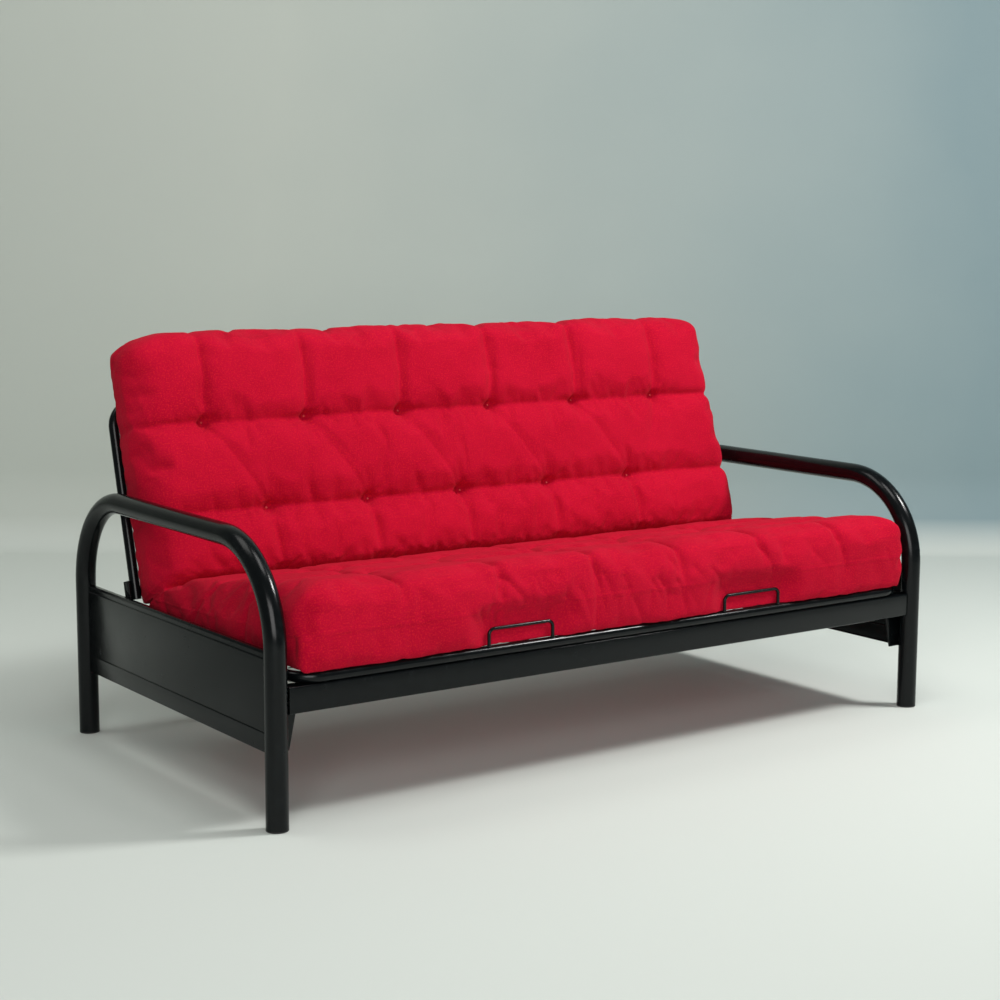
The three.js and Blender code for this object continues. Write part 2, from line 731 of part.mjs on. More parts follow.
function pawlRivet(side) {
  const bar = (radius, from, to) => {
    return plateAcrossX(disc(radius, pawlPin.x, pawlPin.y), spanX(side, from, to), 5);
  };
  const headEnd = seatPlateX - GAP;
  const tail = backPlateX + HINGE_PLATE + GAP;
  const head = bar(RIVET_HEAD_RADIUS, headEnd - RIVET_HEAD, headEnd);
  const shank = bar(PAWL_RIVET / 2, headEnd - 1, tail + 1);
  const upset = bar(RIVET_HEAD_RADIUS, tail, tail + RIVET_HEAD);
  return join(head, shank, upset);
}

// A wire U standing on the front tube, to stop the mattress sliding forward.
function retainer() {
  const half = (RETAINER_WIDTH - RETAINER_WIRE) / 2;
  const foot = deckRadius + GAP;
  const top = deckRadius + RETAINER_HEIGHT - RETAINER_WIRE / 2;
  const corners = [
    new THREE.Vector3(-half, 0, foot),
    new THREE.Vector3(-half, 0, top),
    new THREE.Vector3(half, 0, top),
    new THREE.Vector3(half, 0, foot),
  ];
  return sweep(disc(RETAINER_WIRE / 2), bentPath(corners, RETAINER_BEND, SMALL_BEND_STEPS), WIRE_SIDES);
}

// The seat half of the mattress, seen from the end, pivot at (0, 0).
function seatMattressShape() {
  const bottom = deckRadius + MATTRESS_REST;
  const step = deckRadius + RETAINER_HEIGHT + MATTRESS_STEP;
  const behindRetainer = -seatDepth - RETAINER_FORWARD + RETAINER_WIRE / 2 + MATTRESS_REST;
  const face = behindRetainer - MATTRESS_STEP;
  const top = deckRadius + MATTRESS_FRONT;
  const rear = -TUBE_END;
  const wedge = FOLD_RISE * (rear / -FOLD_AHEAD) * 0.45;
  return outline([
    [behindRetainer, bottom],
    [rear, bottom],
    [rear, bottom + wedge],
    [-FOLD_AHEAD, FOLD_RISE],
    [face + 2 * MATTRESS_FRONT_ROUND, top - MATTRESS_FRONT_ROUND / 4],
    [face + MATTRESS_FRONT_ROUND, top],
    [face + MATTRESS_FRONT_ROUND / 3, top - MATTRESS_FRONT_ROUND / 3],
    [face, top - MATTRESS_FRONT_ROUND],
    [face, step + MATTRESS_STEP],
    [behindRetainer, step],
  ]);
}

// A mattress section, given the mattress's width.
function mattress(shape) {
  const half = legX - MATTRESS_INSET;
  return plateAcrossX(shape, [-half, half]);
}

function pawlShape() {
  const nose = polar(RATCHET_TIP + PAWL_CLEARANCE + PAWL_NOSE, PAWL_NOSE_ANGLE).sub(pawlPin);
  const heading = nose.angle();
  const shape = new THREE.Shape();
  shape.absarc(0, 0, PAWL_RADIUS, heading + Math.PI / 2, heading + 1.5 * Math.PI, false);
  shape.absarc(nose.x, nose.y, PAWL_NOSE, heading - Math.PI / 2, heading + Math.PI / 2, false);
  shape.holes.push(new THREE.Path().absarc(0, 0, rivetHole, 0, 2 * Math.PI, true));
  return shape;
}

function addSeat(futon) {
  const seat = new THREE.Group();
  seat.position.set(0, pivotY, pivotZ);
  futon.add(seat);

  // The deck is drawn running away from the hinge along +Y, then turned to run forward.
  const deck = new THREE.Group();
  deck.rotation.z = Math.PI;
  seat.add(deck);
  addDeck(deck, 'seat_deck', seatDepth);

  for (const side of [-1, 1]) {
    const name = sideName(side);
    const plate = plateAcrossX(seatPlateShape(), spanX(side, seatPlateX, seatPlateX + HINGE_PLATE));
    piece(seat, `${name}_seat_hinge_plate`, plate, blackEnamel);
    piece(seat, `${name}_pawl_rivet`, pawlRivet(side), zincPlate);
    const pawl = plateAcrossX(pawlShape(), spanX(side, backPlateX, backPlateX + HINGE_PLATE));
    piece(seat, `${name}_pawl`, pawl, zincPlate).position.set(0, pawlPin.x, pawlPin.y);
    const wire = piece(seat, `${name}_mattress_retainer`, retainer(), blackEnamel);
    const retainerX = RETAINER_SHIFT + (side * RETAINER_SPACING) / 2;
    wire.position.set(retainerX, -seatDepth - RETAINER_FORWARD, 0);
  }
  piece(seat, 'mattress_seat', mattress(seatMattressShape()), redCotton);
}

// ---------------------------------------------------------------------------------------------
// Back deck
// ---------------------------------------------------------------------------------------------

// Seen from the end, pivot at (0, 0): a toothed disc with an arm along the side tube (+Z).
function backPlateShape() {
  const halfArm = BACK_PLATE_WIDTH / 2;
  const armStart = THREE.MathUtils.radToDeg(Math.acos(halfArm / RATCHET_ROOT));
  const shape = new THREE.Shape();
  shape.moveTo(halfArm, BACK_PLATE_LENGTH);
  shape.lineTo(-halfArm, BACK_PLATE_LENGTH);
  shape.absarc(0, 0, RATCHET_ROOT, Math.PI - THREE.MathUtils.degToRad(armStart),
    THREE.MathUtils.degToRad(RATCHET_START), false);
  const pitch = RATCHET_SWEEP / RATCHET_TEETH;
  for (let tooth = 0; tooth < RATCHET_TEETH; tooth += 1) {
    const start = RATCHET_START + pitch * tooth;
    for (const [radius, share] of [[RATCHET_TIP, 0.15], [RATCHET_TIP, 0.45], [RATCHET_ROOT, 1]]) {
      const point = polar(radius, start + pitch * share);
      shape.lineTo(point.x, point.y);
    }
  }
  shape.absarc(0, 0, RATCHET_ROOT, THREE.MathUtils.degToRad(RATCHET_START + RATCHET_SWEEP),
    2 * Math.PI + THREE.MathUtils.degToRad(armStart), false);
  shape.holes.push(new THREE.Path().absarc(0, 0, pivotHole, 0, 2 * Math.PI, true));
  return shape;
}

// The plate stands clear of the seat's plate, so a pad joins its arm to the side tube.
function backPlate(side) {
  const plate = plateAcrossX(backPlateShape(), spanX(side, backPlateX, backPlateX + HINGE_PLATE));
  const half = BACK_PAD_WIDTH / 2;
  const [from, to] = [CROSS_TUBE, BACK_PLATE_LENGTH - half];
  const pad = plateAcrossX(
    outline([[-half, from], [half, from], [half, to], [-half, to]]),
    spanX(side, deckOuter + GAP, backPlateX + HINGE_PLATE / 2),
  );
  return join(plate, pad);
}

// The back half of the mattress, seen from the end, pivot at (0, 0), deck along +Z.
function backMattressShape() {
  const behind = -(deckRadius + MATTRESS_REST);
  const deckTop = BACK_LENGTH + deckRadius;
  const top = BACK_LENGTH + BACK_OVERHANG;
  const fold = new THREE.Vector2(-FOLD_AHEAD, FOLD_RISE + FOLD_GAP).rotateAround(new THREE.Vector2(), lean);
  const low = -BACK_THICKNESS_LOW;
  const high = -BACK_THICKNESS_HIGH;
  return outline([
    [behind, TUBE_END - 2 * FOLD_GAP],
    [behind, deckTop],
    [behind + BACK_FLOP, deckTop + BACK_ROUND],
    [behind + BACK_FLOP, top - BACK_ROUND],
    [behind - BACK_ROUND / 4, top - BACK_ROUND / 4],
    [behind - BACK_ROUND, top],
    [high + BACK_ROUND, top - BACK_ROUND / 8],
    [high, top - BACK_ROUND],
    [low, BACK_LENGTH / 2],
    [low, fold.y + BACK_ROUND],
    [fold.x, fold.y],
  ]);
}

function addBack(futon) {
  const back = new THREE.Group();
  back.position.set(0, pivotY, pivotZ);
  back.rotation.x = -lean;
  futon.add(back);

  // The deck is drawn flat along +Y with its grid on top, then stood up, grid to the front.
  const deck = new THREE.Group();
  deck.rotation.x = Math.PI / 2;
  back.add(deck);
  addDeck(deck, 'back_deck', BACK_LENGTH);

  for (const side of [-1, 1]) {
    piece(back, `${sideName(side)}_back_hinge_plate`, backPlate(side), blackEnamel);
  }
  piece(back, 'mattress_back', mattress(backMattressShape()), redCotton);
}

// ---------------------------------------------------------------------------------------------
// Assembly
// ---------------------------------------------------------------------------------------------

const futon = new THREE.Group();
addArms(futon);
addRails(futon);
addPivots(futon);
addSeat(futon);
addBack(futon);

export default futon;
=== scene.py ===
"""Looks of a futon sofa bed: enamelled tube frame, hinged wire decks and one folded, tufted mattress.

Everything is in metres, +Z up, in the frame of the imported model. Each sub-assembly is a class that
builds its pieces, dresses them in a finish and lets them ride on the body that they belong to.
"""

from __future__ import annotations

import json
import logging
import math
import random
from dataclasses import dataclass, field
from enum import Enum

import bmesh
import bpy
import numpy as np
from mathutils import Matrix, Vector, noise


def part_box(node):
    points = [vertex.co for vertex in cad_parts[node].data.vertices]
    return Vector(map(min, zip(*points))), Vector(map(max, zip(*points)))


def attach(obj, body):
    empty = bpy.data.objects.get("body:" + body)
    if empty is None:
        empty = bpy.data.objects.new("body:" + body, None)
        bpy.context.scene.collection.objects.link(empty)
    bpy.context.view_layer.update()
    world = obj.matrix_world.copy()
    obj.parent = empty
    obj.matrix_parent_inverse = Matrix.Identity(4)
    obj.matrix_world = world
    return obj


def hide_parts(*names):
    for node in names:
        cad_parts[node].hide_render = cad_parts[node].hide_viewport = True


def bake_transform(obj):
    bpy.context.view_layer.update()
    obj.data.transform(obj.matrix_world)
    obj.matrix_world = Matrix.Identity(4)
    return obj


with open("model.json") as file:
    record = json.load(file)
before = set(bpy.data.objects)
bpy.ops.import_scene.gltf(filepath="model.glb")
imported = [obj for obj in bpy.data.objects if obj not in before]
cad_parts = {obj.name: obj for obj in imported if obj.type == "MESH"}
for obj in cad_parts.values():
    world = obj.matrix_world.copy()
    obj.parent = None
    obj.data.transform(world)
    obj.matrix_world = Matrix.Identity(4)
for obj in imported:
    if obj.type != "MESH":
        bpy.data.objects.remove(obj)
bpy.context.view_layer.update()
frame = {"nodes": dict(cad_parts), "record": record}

log = logging.getLogger("futon")

SIDES = {"left": -1.0, "right": 1.0}
BACK_LEAN = math.radians(15.0)
SEAT_REACH = 0.807
BACK_REACH = 0.537
WELD_SHARP = 80.0
ALL_SMOOTH = 180.0


class Body(str, Enum):
    """The moving bodies that a piece can ride on."""

    ARMS = "arm_frame"
    SEAT = "seat_deck"
    BACK = "back_deck"
    LEFT_PAWL = "left_pawl_lever"
    RIGHT_PAWL = "right_pawl_lever"


# ---------------------------------------------------------------------------------------------
# Shader and geometry trees
# ---------------------------------------------------------------------------------------------


class ShaderTree:
    """A material's node tree with one principled shader, built node by node."""

    def __init__(self, name: str) -> None:
        """Starts an empty material with a principled shader.

        Args:
            name: The material's name.
        """
        self.material = bpy.data.materials.new(name)
        self.material.use_nodes = True
        self.tree = self.material.node_tree
        self.shader = self.tree.nodes["Principled BSDF"]

    def node(self, kind: str, **settings: object) -> bpy.types.Node:
        """Adds a node.

        Args:
            kind: The node's type.
            **settings: Properties, or input values when the name is an input's.

        Returns:
            The new node.
        """
        made = self.tree.nodes.new(kind)
        for key, value in settings.items():
            if hasattr(made, key):
                setattr(made, key, value)
            else:
                made.inputs[key.replace("_", " ")].default_value = value
        return made

    def link(self, source: bpy.types.NodeSocket, target: bpy.types.NodeSocket) -> None:
        """Links two sockets."""
        self.tree.links.new(source, target)

    def math(self, operation: str, first: object, second: object = 0.0) -> bpy.types.NodeSocket:
        """Adds a math node whose inputs are sockets or plain numbers.

        Args:
            operation: The math node's operation.
            first: The first socket or number.
            second: The second socket or number.

        Returns:
            The result's socket.
        """
        made = self.tree.nodes.new("ShaderNodeMath")
        made.operation = operation
        for socket, value in zip(made.inputs, (first, second)):
            if isinstance(value, bpy.types.NodeSocket):
                self.link(value, socket)
            else:
                socket.default_value = value
        return made.outputs[0]

    def noise(self, vector: bpy.types.NodeSocket, scale: float, detail: float = 2.0) -> bpy.types.NodeSocket:
        """Adds a noise texture.

        Args:
            vector: The coordinates that it reads.
            scale: Its frequency.
            detail: Its octaves.

        Returns:
            Its factor's socket.
        """
        made = self.node("ShaderNodeTexNoise", Scale=scale, Detail=detail)
        self.link(vector, made.inputs["Vector"])
        return made.outputs[0]

    def ramp(
        self, value: bpy.types.NodeSocket, low: float, high: float, out: tuple[float, float]
    ) -> bpy.types.NodeSocket:
        """Maps a value onto another range, clamped.

        Args:
            value: The value's socket.
            low: The value that gives the first end of the range.
            high: The value that gives its other end.
            out: The range's two ends.

        Returns:
            The mapped value's socket.
        """
        made = self.node("ShaderNodeMapRange", clamp=True)
        self.link(value, made.inputs["Value"])
        for key, number in zip(("From Min", "From Max", "To Min", "To Max"), (low, high, *out)):
            made.inputs[key].default_value = number
        return made.outputs[0]

    def mix(self, share: bpy.types.NodeSocket, first: object, second: object) -> bpy.types.NodeSocket:
        """Mixes two colours, each a socket or an RGB value.

        Args:
            share: The second colour's share.
            first: The first colour.
            second: The second colour.

        Returns:
            The mixed colour's socket.
        """
        made = self.tree.nodes.new("ShaderNodeMix")
        made.data_type = "RGBA"
        self.link(share, made.inputs[0])
        for socket, value in ((made.inputs[6], first), (made.inputs[7], second)):
            if isinstance(value, bpy.types.NodeSocket):
                self.link(value, socket)
            else:
                socket.default_value = (*value, 1.0)
        return made.outputs[2]

    def bump(self, height: bpy.types.NodeSocket, distance: float, strength: float = 1.0) -> None:
        """Feeds a height through a bump node into the shader's normal.

        Args:
            height: The height's socket.
            distance: How far a height of one stands out, in metres.
            strength: The bump's strength.
        """
        made = self.node("ShaderNodeBump", Strength=strength, Distance=distance)
        self.link(height, made.inputs["Height"])
        self.link(made.outputs[0], self.shader.inputs["Normal"])


class GeometryTree:
    """A Geometry Nodes tree with named inputs, ending in Realize Instances and Set Material."""

    def __init__(self, name: str) -> None:
        """Starts a tree that takes and gives a geometry.

        Args:
            name: The tree's name.
        """
        self.tree = bpy.data.node_groups.new(name, "GeometryNodeTree")
        self.sockets: dict[str, str] = {}
        self.given = self.tree.nodes.new("NodeGroupInput")
        self.result = self.tree.nodes.new("NodeGroupOutput")
        self.tree.interface.new_socket("Geometry", in_out="INPUT", socket_type="NodeSocketGeometry")
        self.tree.interface.new_socket("Geometry", in_out="OUTPUT", socket_type="NodeSocketGeometry")
        self.size("Material", "NodeSocketMaterial")

    def size(self, name: str, kind: str = "NodeSocketFloat") -> bpy.types.NodeSocket:
        """Adds a named input.

        Args:
            name: The input's name.
            kind: The socket's type.

        Returns:
            The socket inside the tree that carries it.
        """
        socket = self.tree.interface.new_socket(name, in_out="INPUT", socket_type=kind)
        self.sockets[name] = socket.identifier
        return self.given.outputs[name]

    def node(self, kind: str, *inputs: tuple[object, object], **settings: object) -> bpy.types.Node:
        """Adds a node and fills its inputs.

        Args:
            kind: The node's type.
            *inputs: Pairs of an input's name or index and a socket or value for it.
            **settings: The node's properties.

        Returns:
            The new node.
        """
        made = self.tree.nodes.new(kind)
        for key, value in settings.items():
            setattr(made, key, value)
        for key, value in inputs:
            if isinstance(value, bpy.types.NodeSocket):
                self.tree.links.new(value, made.inputs[key])
            else:
                made.inputs[key].default_value = value
        return made

    def finish(self, geometry: bpy.types.NodeSocket) -> GeometryTree:
        """Ends the tree: instances are realised and the material is set.

        Args:
            geometry: What the tree has made.

        Returns:
            The same tree.
        """
        real = self.node("GeometryNodeRealizeInstances", (0, geometry))
        smooth = self.node("GeometryNodeSetShadeSmooth", (0, real.outputs[0]))
        dressed = self.node(
            "GeometryNodeSetMaterial", (0, smooth.outputs[0]), ("Material", self.given.outputs["Material"])
        )
        self.tree.links.new(dressed.outputs[0], self.result.inputs[0])
        return self

    def apply(self, piece: bpy.types.Object, material: bpy.types.Material, **sizes: float) -> None:
        """Puts the tree on a piece, its inputs set by identifier.

        Args:
            piece: The object that gets the modifier.
            material: The finish that the tree sets.
            **sizes: Input values, an underscore standing for a space.
        """
        modifier = piece.modifiers.new(self.tree.name, "NODES")
        modifier.node_group = self.tree
        modifier[self.sockets["Material"]] = material
        for name, value in sizes.items():
            modifier[self.sockets[name.replace("_", " ")]] = value


def tube_tree() -> GeometryTree:
    """Tube or wire along the piece's own edges, with bends of a given radius.

    Returns:
        The tree. Inputs: Radius, Bend Radius, Bend Steps, Sides, Capped.
    """
    made = GeometryTree("tube_along_path")
    radius = made.size("Radius")
    bend = made.size("Bend Radius")
    steps = made.size("Bend Steps", "NodeSocketInt")
    sides = made.size("Sides", "NodeSocketInt")
    capped = made.size("Capped", "NodeSocketBool")
    path = made.node("GeometryNodeMeshToCurve", (0, made.given.outputs[0]))
    bent = made.node("GeometryNodeFilletCurve", (0, path.outputs[0]))
    if hasattr(bent, "mode"):
        bent.mode = "POLY"
    for socket in bent.inputs:
        if socket.name == "Count":
            made.tree.links.new(steps, socket)
        elif socket.name == "Radius":
            made.tree.links.new(bend, socket)
        elif socket.name == "Mode":
            socket.default_value = "Poly"
    circle = made.node("GeometryNodeCurvePrimitiveCircle", ("Resolution", sides), ("Radius", radius))
    swept = made.node(
        "GeometryNodeCurveToMesh", (0, bent.outputs[0]), (1, circle.outputs[0]), ("Fill Caps", capped)
    )
    return made.finish(swept.outputs[0])


def grid_tree() -> GeometryTree:
    """Welded wire grid in the XY plane: crosswise wires lying on lengthwise ones.

    Returns:
        The tree. Inputs: Width, Near, Far, Columns, Rows, Column Span, First Row, Last Row, Wire Radius.
    """
    made = GeometryTree("welded_wire_grid")
    names = ("Width", "Near", "Far", "Column Span", "First Row", "Last Row", "Wire Radius")
    width, near, far, span, first, last, radius = (made.size(name) for name in names)
    columns = made.size("Columns", "NodeSocketInt")
    rows = made.size("Rows", "NodeSocketInt")

    def vector(x: object = 0.0, y: object = 0.0, z: object = 0.0) -> bpy.types.NodeSocket:
        """A vector of three sockets or numbers."""
        return made.node("ShaderNodeCombineXYZ", (0, x), (1, y), (2, z)).outputs[0]

    def times(value: bpy.types.NodeSocket, factor: float) -> bpy.types.NodeSocket:
        """A socket's value times a number."""
        return made.node("ShaderNodeMath", (0, value), (1, factor), operation="MULTIPLY").outputs[0]

    def wires(count: object, near: object, far: object, start: object, end: object) -> bpy.types.NodeSocket:
        """Equal wires, repeated between two places.

        Args:
            count: How many.
            near: Where the first one is.
            far: Where the last one is.
            start: One end of a wire.
            end: Its other end.

        Returns:
            The wires' centrelines.
        """
        row = made.node("GeometryNodeMeshLine", ("Count", count), ("Start Location", near), mode="END_POINTS")
        made.tree.links.new(far, row.inputs["Offset"])
        wire = made.node("GeometryNodeCurvePrimitiveLine", ("Start", start), ("End", end))
        placed = made.node(
            "GeometryNodeInstanceOnPoints", ("Points", row.outputs[0]), ("Instance", wire.outputs[0])
        )
        return made.node("GeometryNodeRealizeInstances", (0, placed.outputs[0])).outputs[0]

    half, low = times(width, 0.5), times(radius, -1.0)
    minus_half, minus_span = times(width, -0.5), times(span, -1.0)
    across = wires(rows, vector(0, first, radius), vector(0, last, radius), vector(minus_half), vector(half))
    along = wires(
        columns, vector(minus_span, 0, low), vector(span, 0, low), vector(0, near), vector(0, far)
    )
    both = made.node("GeometryNodeJoinGeometry", (0, across))
    made.tree.links.new(along, both.inputs[0])
    circle = made.node("GeometryNodeCurvePrimitiveCircle", ("Resolution", 10), ("Radius", radius))
    swept = made.node(
        "GeometryNodeCurveToMesh", (0, both.outputs[0]), (1, circle.outputs[0]), ("Fill Caps", True)
    )
    return made.finish(swept.outputs[0])


class ScatterTree(GeometryTree):
    """Copies of one small shape, turned so that its +Z follows each point's axis."""

    def scatter(self, shape: bpy.types.NodeSocket) -> GeometryTree:
        """Places the shape on the piece's points.

        Args:
            shape: The geometry to repeat.

        Returns:
            The finished tree.
        """
        axis = self.node("GeometryNodeInputNamedAttribute", ("Name", "axis"), data_type="FLOAT_VECTOR")
        turn = self.node("FunctionNodeAlignRotationToVector", ("Vector", axis.outputs[0]), axis="Z")
        placed = self.node(
            "GeometryNodeInstanceOnPoints",
            ("Points", self.given.outputs[0]),
            ("Instance", shape),
            ("Rotation", turn.outputs[0]),
        )
        return self.finish(placed.outputs[0])

    def lifted(self, mesh: bpy.types.NodeSocket, height: bpy.types.NodeSocket) -> bpy.types.NodeSocket:
        """A geometry moved up by a height."""
        place = self.node("ShaderNodeCombineXYZ", (2, height)).outputs[0]
        return self.node("GeometryNodeTransform", (0, mesh), ("Translation", place)).outputs[0]

    def scaled(self, value: bpy.types.NodeSocket, factor: float) -> bpy.types.NodeSocket:
        """A socket's value times a number."""
        return self.node("ShaderNodeMath", (0, value), (1, factor), operation="MULTIPLY").outputs[0]


def fastener_tree() -> GeometryTree:
    """Hexagon head or nut with a shank, its bearing face at the point and its shank along +Z.

    Returns:
        The tree. Inputs: Head Radius, Head Height, Shank Radius, Shank Length.
    """
    made = ScatterTree("hexagon_fastener")
    names = ("Head Radius", "Head Height", "Shank Radius", "Shank Length")
    head_radius, head_height, shank_radius, shank_length = (made.size(name) for name in names)
    head = made.node(
        "GeometryNodeMeshCylinder", ("Vertices", 6), ("Radius", head_radius), ("Depth", head_height)
    )
    shank = made.node(
        "GeometryNodeMeshCylinder", ("Vertices", 24), ("Radius", shank_radius), ("Depth", shank_length)
    )
    sunk_head = made.lifted(head.outputs[0], made.scaled(head_height, -0.5))
    both = made.node("GeometryNodeJoinGeometry", (0, sunk_head))
    made.tree.links.new(made.lifted(shank.outputs[0], made.scaled(shank_length, 0.495)), both.inputs[0])
    return made.scatter(both.outputs[0])


def weld_tree() -> GeometryTree:
    """Ring of overlapping weld drops round a tube end that runs along the point's axis.

    Returns:
        The tree. Inputs: Ring Radius, Drop Radius, Drops.
    """
    made = ScatterTree("weld_bead")
    ring_radius, drop_radius = made.size("Ring Radius"), made.size("Drop Radius")
    drops = made.size("Drops", "NodeSocketInt")
    ring = made.node("GeometryNodeMeshCircle", ("Vertices", drops), ("Radius", ring_radius))
    drop = made.node("GeometryNodeMeshIcoSphere", ("Radius", drop_radius), ("Subdivisions", 2))
    size = made.node("FunctionNodeRandomValue", (2, 0.85), (3, 1.15), ("Seed", 5), data_type="FLOAT")
    bead = made.node(
        "GeometryNodeInstanceOnPoints",
        ("Points", ring.outputs[0]),
        ("Instance", drop.outputs[0]),
        ("Scale", size.outputs[1]),
    )
    real = made.node("GeometryNodeRealizeInstances", (0, bead.outputs[0]))
    return made.scatter(real.outputs[0])


def knot_tree() -> GeometryTree:
    """Short knotted yarn: crossed loops that lie flat on the cover.

    Returns:
        The tree. Inputs: Knot Radius, Yarn Radius.
    """
    made = ScatterTree("tuft_knot")
    knot_radius, yarn_radius = made.size("Knot Radius"), made.size("Yarn Radius")
    loop = made.node(
        "GeometryNodeCurveStar",
        ("Points", 5),
        ("Inner Radius", made.scaled(knot_radius, 0.4)),
        ("Outer Radius", knot_radius),
    )
    yarn = made.node("GeometryNodeCurvePrimitiveCircle", ("Resolution", 8), ("Radius", yarn_radius))
    swept = made.node("GeometryNodeCurveToMesh", (0, loop.outputs[0]), (1, yarn.outputs[0]))
    return made.scatter(swept.outputs[0])


# ---------------------------------------------------------------------------------------------
# Finishes
# ---------------------------------------------------------------------------------------------


@dataclass(frozen=True)
class Enamel:
    """Baked black enamel with a faint orange-peel skin, dust and rubbed edges.

    Args:
        name: The material's name.
        color: Linear base colour.
        roughness: Mean roughness.
        peel: Depth of the orange peel, in metres.
    """

    name: str
    color: tuple[float, float, float]
    roughness: float
    peel: float

    def material(self) -> bpy.types.Material:
        """Builds the finish's node tree.

        Returns:
            The material.
        """
        made = ShaderTree(self.name)
        place = made.node("ShaderNodeTexCoord").outputs["Object"]
        peel = made.noise(place, 420.0, 2.0)
        dust = made.noise(place, 9.0, 4.0)
        scuffs = made.noise(place, 60.0, 6.0)
        lighter = tuple(channel * 1.6 + 0.001 for channel in self.color)
        tone = made.mix(made.ramp(scuffs, 0.45, 0.75, (0.0, 1.0)), self.color, lighter)
        made.link(tone, made.shader.inputs["Base Color"])
        rough = made.ramp(dust, 0.3, 0.75, (self.roughness * 0.8, self.roughness * 1.35))
        marks = made.ramp(scuffs, 0.6, 0.72, (0.0, 0.07))
        made.link(made.math("ADD", rough, marks), made.shader.inputs["Roughness"])
        made.shader.inputs["Metallic"].default_value = 0.0
        made.shader.inputs["Specular IOR Level"].default_value = 0.22
        made.bump(peel, self.peel)
        return made.material


@dataclass(frozen=True)
class ZincPlate:
    """Bright zinc plating with a fine spangle and dull patches."""

    name: str = "zinc_plate"
    color: tuple[float, float, float] = (0.56, 0.57, 0.56)

    def material(self) -> bpy.types.Material:
        """Builds the finish's node tree.

        Returns:
            The material.
        """
        made = ShaderTree(self.name)
        place = made.node("ShaderNodeTexCoord").outputs["Object"]
        grain = made.noise(place, 900.0, 3.0)
        patches = made.noise(place, 120.0, 4.0)
        dull = tuple(channel * 0.7 for channel in self.color)
        tone = made.mix(made.ramp(patches, 0.4, 0.7, (0.0, 1.0)), self.color, dull)
        made.link(tone, made.shader.inputs["Base Color"])
        made.link(made.ramp(grain, 0.3, 0.7, (0.26, 0.44)), made.shader.inputs["Roughness"])
        made.shader.inputs["Metallic"].default_value = 1.0
        made.bump(grain, 0.00004)
        return made.material


@dataclass(frozen=True)
class Moulded:
    """Moulded plastic with a fine matt texture.

    Args:
        name: The material's name.
        color: Linear base colour.
        roughness: Mean roughness.
    """

    name: str
    color: tuple[float, float, float]
    roughness: float

    def material(self) -> bpy.types.Material:
        """Builds the finish's node tree.

        Returns:
            The material.
        """
        made = ShaderTree(self.name)
        place = made.node("ShaderNodeTexCoord").outputs["Object"]
        grain = made.noise(place, 1500.0, 2.0)
        worn = made.noise(place, 80.0, 4.0)
        pale = tuple(min(1.0, channel * 1.5 + 0.01) for channel in self.color)
        tone = made.mix(made.ramp(worn, 0.45, 0.8, (0.0, 0.6)), self.color, pale)
        rough = made.ramp(worn, 0.3, 0.7, (self.roughness * 0.85, self.roughness * 1.1))
        made.link(tone, made.shader.inputs["Base Color"])
        made.link(rough, made.shader.inputs["Roughness"])
        made.bump(grain, 0.00005)
        return made.material


@dataclass(frozen=True)
class CottonWeave:
    """Heavy cotton duck in a plain weave, read from the piece's own UV map in metres.

    Args:
        name: The material's name.
        color: Linear base colour.
        shade: Linear colour of the darker threads.
        thread: Distance between threads, in metres.
    """

    name: str
    color: tuple[float, float, float]
    shade: tuple[float, float, float]
    thread: float = 0.0016

    def material(self) -> bpy.types.Material:
        """Builds the finish's node tree.

        Returns:
            The material.
        """
        made = ShaderTree(self.name)
        cloth = made.node("ShaderNodeUVMap", uv_map=Mattress.UV_NAME).outputs[0]
        parts = made.node("ShaderNodeSeparateXYZ")
        made.link(cloth, parts.inputs[0])
        turn = math.tau / (2.0 * self.thread)
        warp = made.math("SINE", made.math("MULTIPLY", parts.outputs[0], turn))
        weft = made.math("SINE", made.math("MULTIPLY", parts.outputs[1], turn))
        over = made.math("MULTIPLY", warp, weft)
        ridges = made.math("ADD", made.math("ABSOLUTE", warp), made.math("ABSOLUTE", weft))
        slubs = self.streaks(made, cloth, (28.0, 700.0, 1.0))
        slubs_across = self.streaks(made, cloth, (700.0, 28.0, 1.0))
        yarn = made.math("ADD", slubs, slubs_across)
        fade = made.noise(cloth, 5.0, 3.0)
        tone = made.mix(made.ramp(yarn, 0.75, 1.35, (0.0, 1.0)), self.shade, self.color)
        tint = tuple(min(1.0, channel * 1.15 + 0.003) for channel in self.color)
        tone = made.mix(made.ramp(fade, 0.35, 0.75, (0.0, 0.55)), tone, tint)
        heather = made.ramp(made.noise(cloth, 260.0, 3.0), 0.48, 0.68, (0.0, 0.7))
        warm = (min(1.0, self.color[0] * 1.3), self.color[1] + 0.012, self.color[2] * 0.9)
        made.link(made.mix(heather, tone, warm), made.shader.inputs["Base Color"])
        made.shader.inputs["Roughness"].default_value = 0.92
        made.shader.inputs["Specular IOR Level"].default_value = 0.05
        made.shader.inputs["Sheen Weight"].default_value = 0.06
        made.shader.inputs["Sheen Roughness"].default_value = 0.45
        made.shader.inputs["Sheen Tint"].default_value = (1.0, 0.25, 0.25, 1.0)
        threads = made.math("ADD", made.math("MULTIPLY", over, 0.35), made.math("MULTIPLY", ridges, -0.3))
        made.bump(made.math("ADD", threads, made.math("MULTIPLY", yarn, 0.8)), 0.0005, 0.8)
        return made.material

    def streaks(
        self, made: ShaderTree, cloth: bpy.types.NodeSocket, scale: tuple[float, float, float]
    ) -> bpy.types.NodeSocket:
        """Noise drawn out along one thread direction.

        Args:
            made: The tree to add to.
            cloth: The cloth's coordinates.
            scale: Frequency along U, V and W.

        Returns:
            The noise's socket.
        """
        stretch = made.node("ShaderNodeMapping")
        stretch.inputs["Scale"].default_value = scale
        made.link(cloth, stretch.inputs["Vector"])
        return made.noise(stretch.outputs[0], 1.0, 2.0)


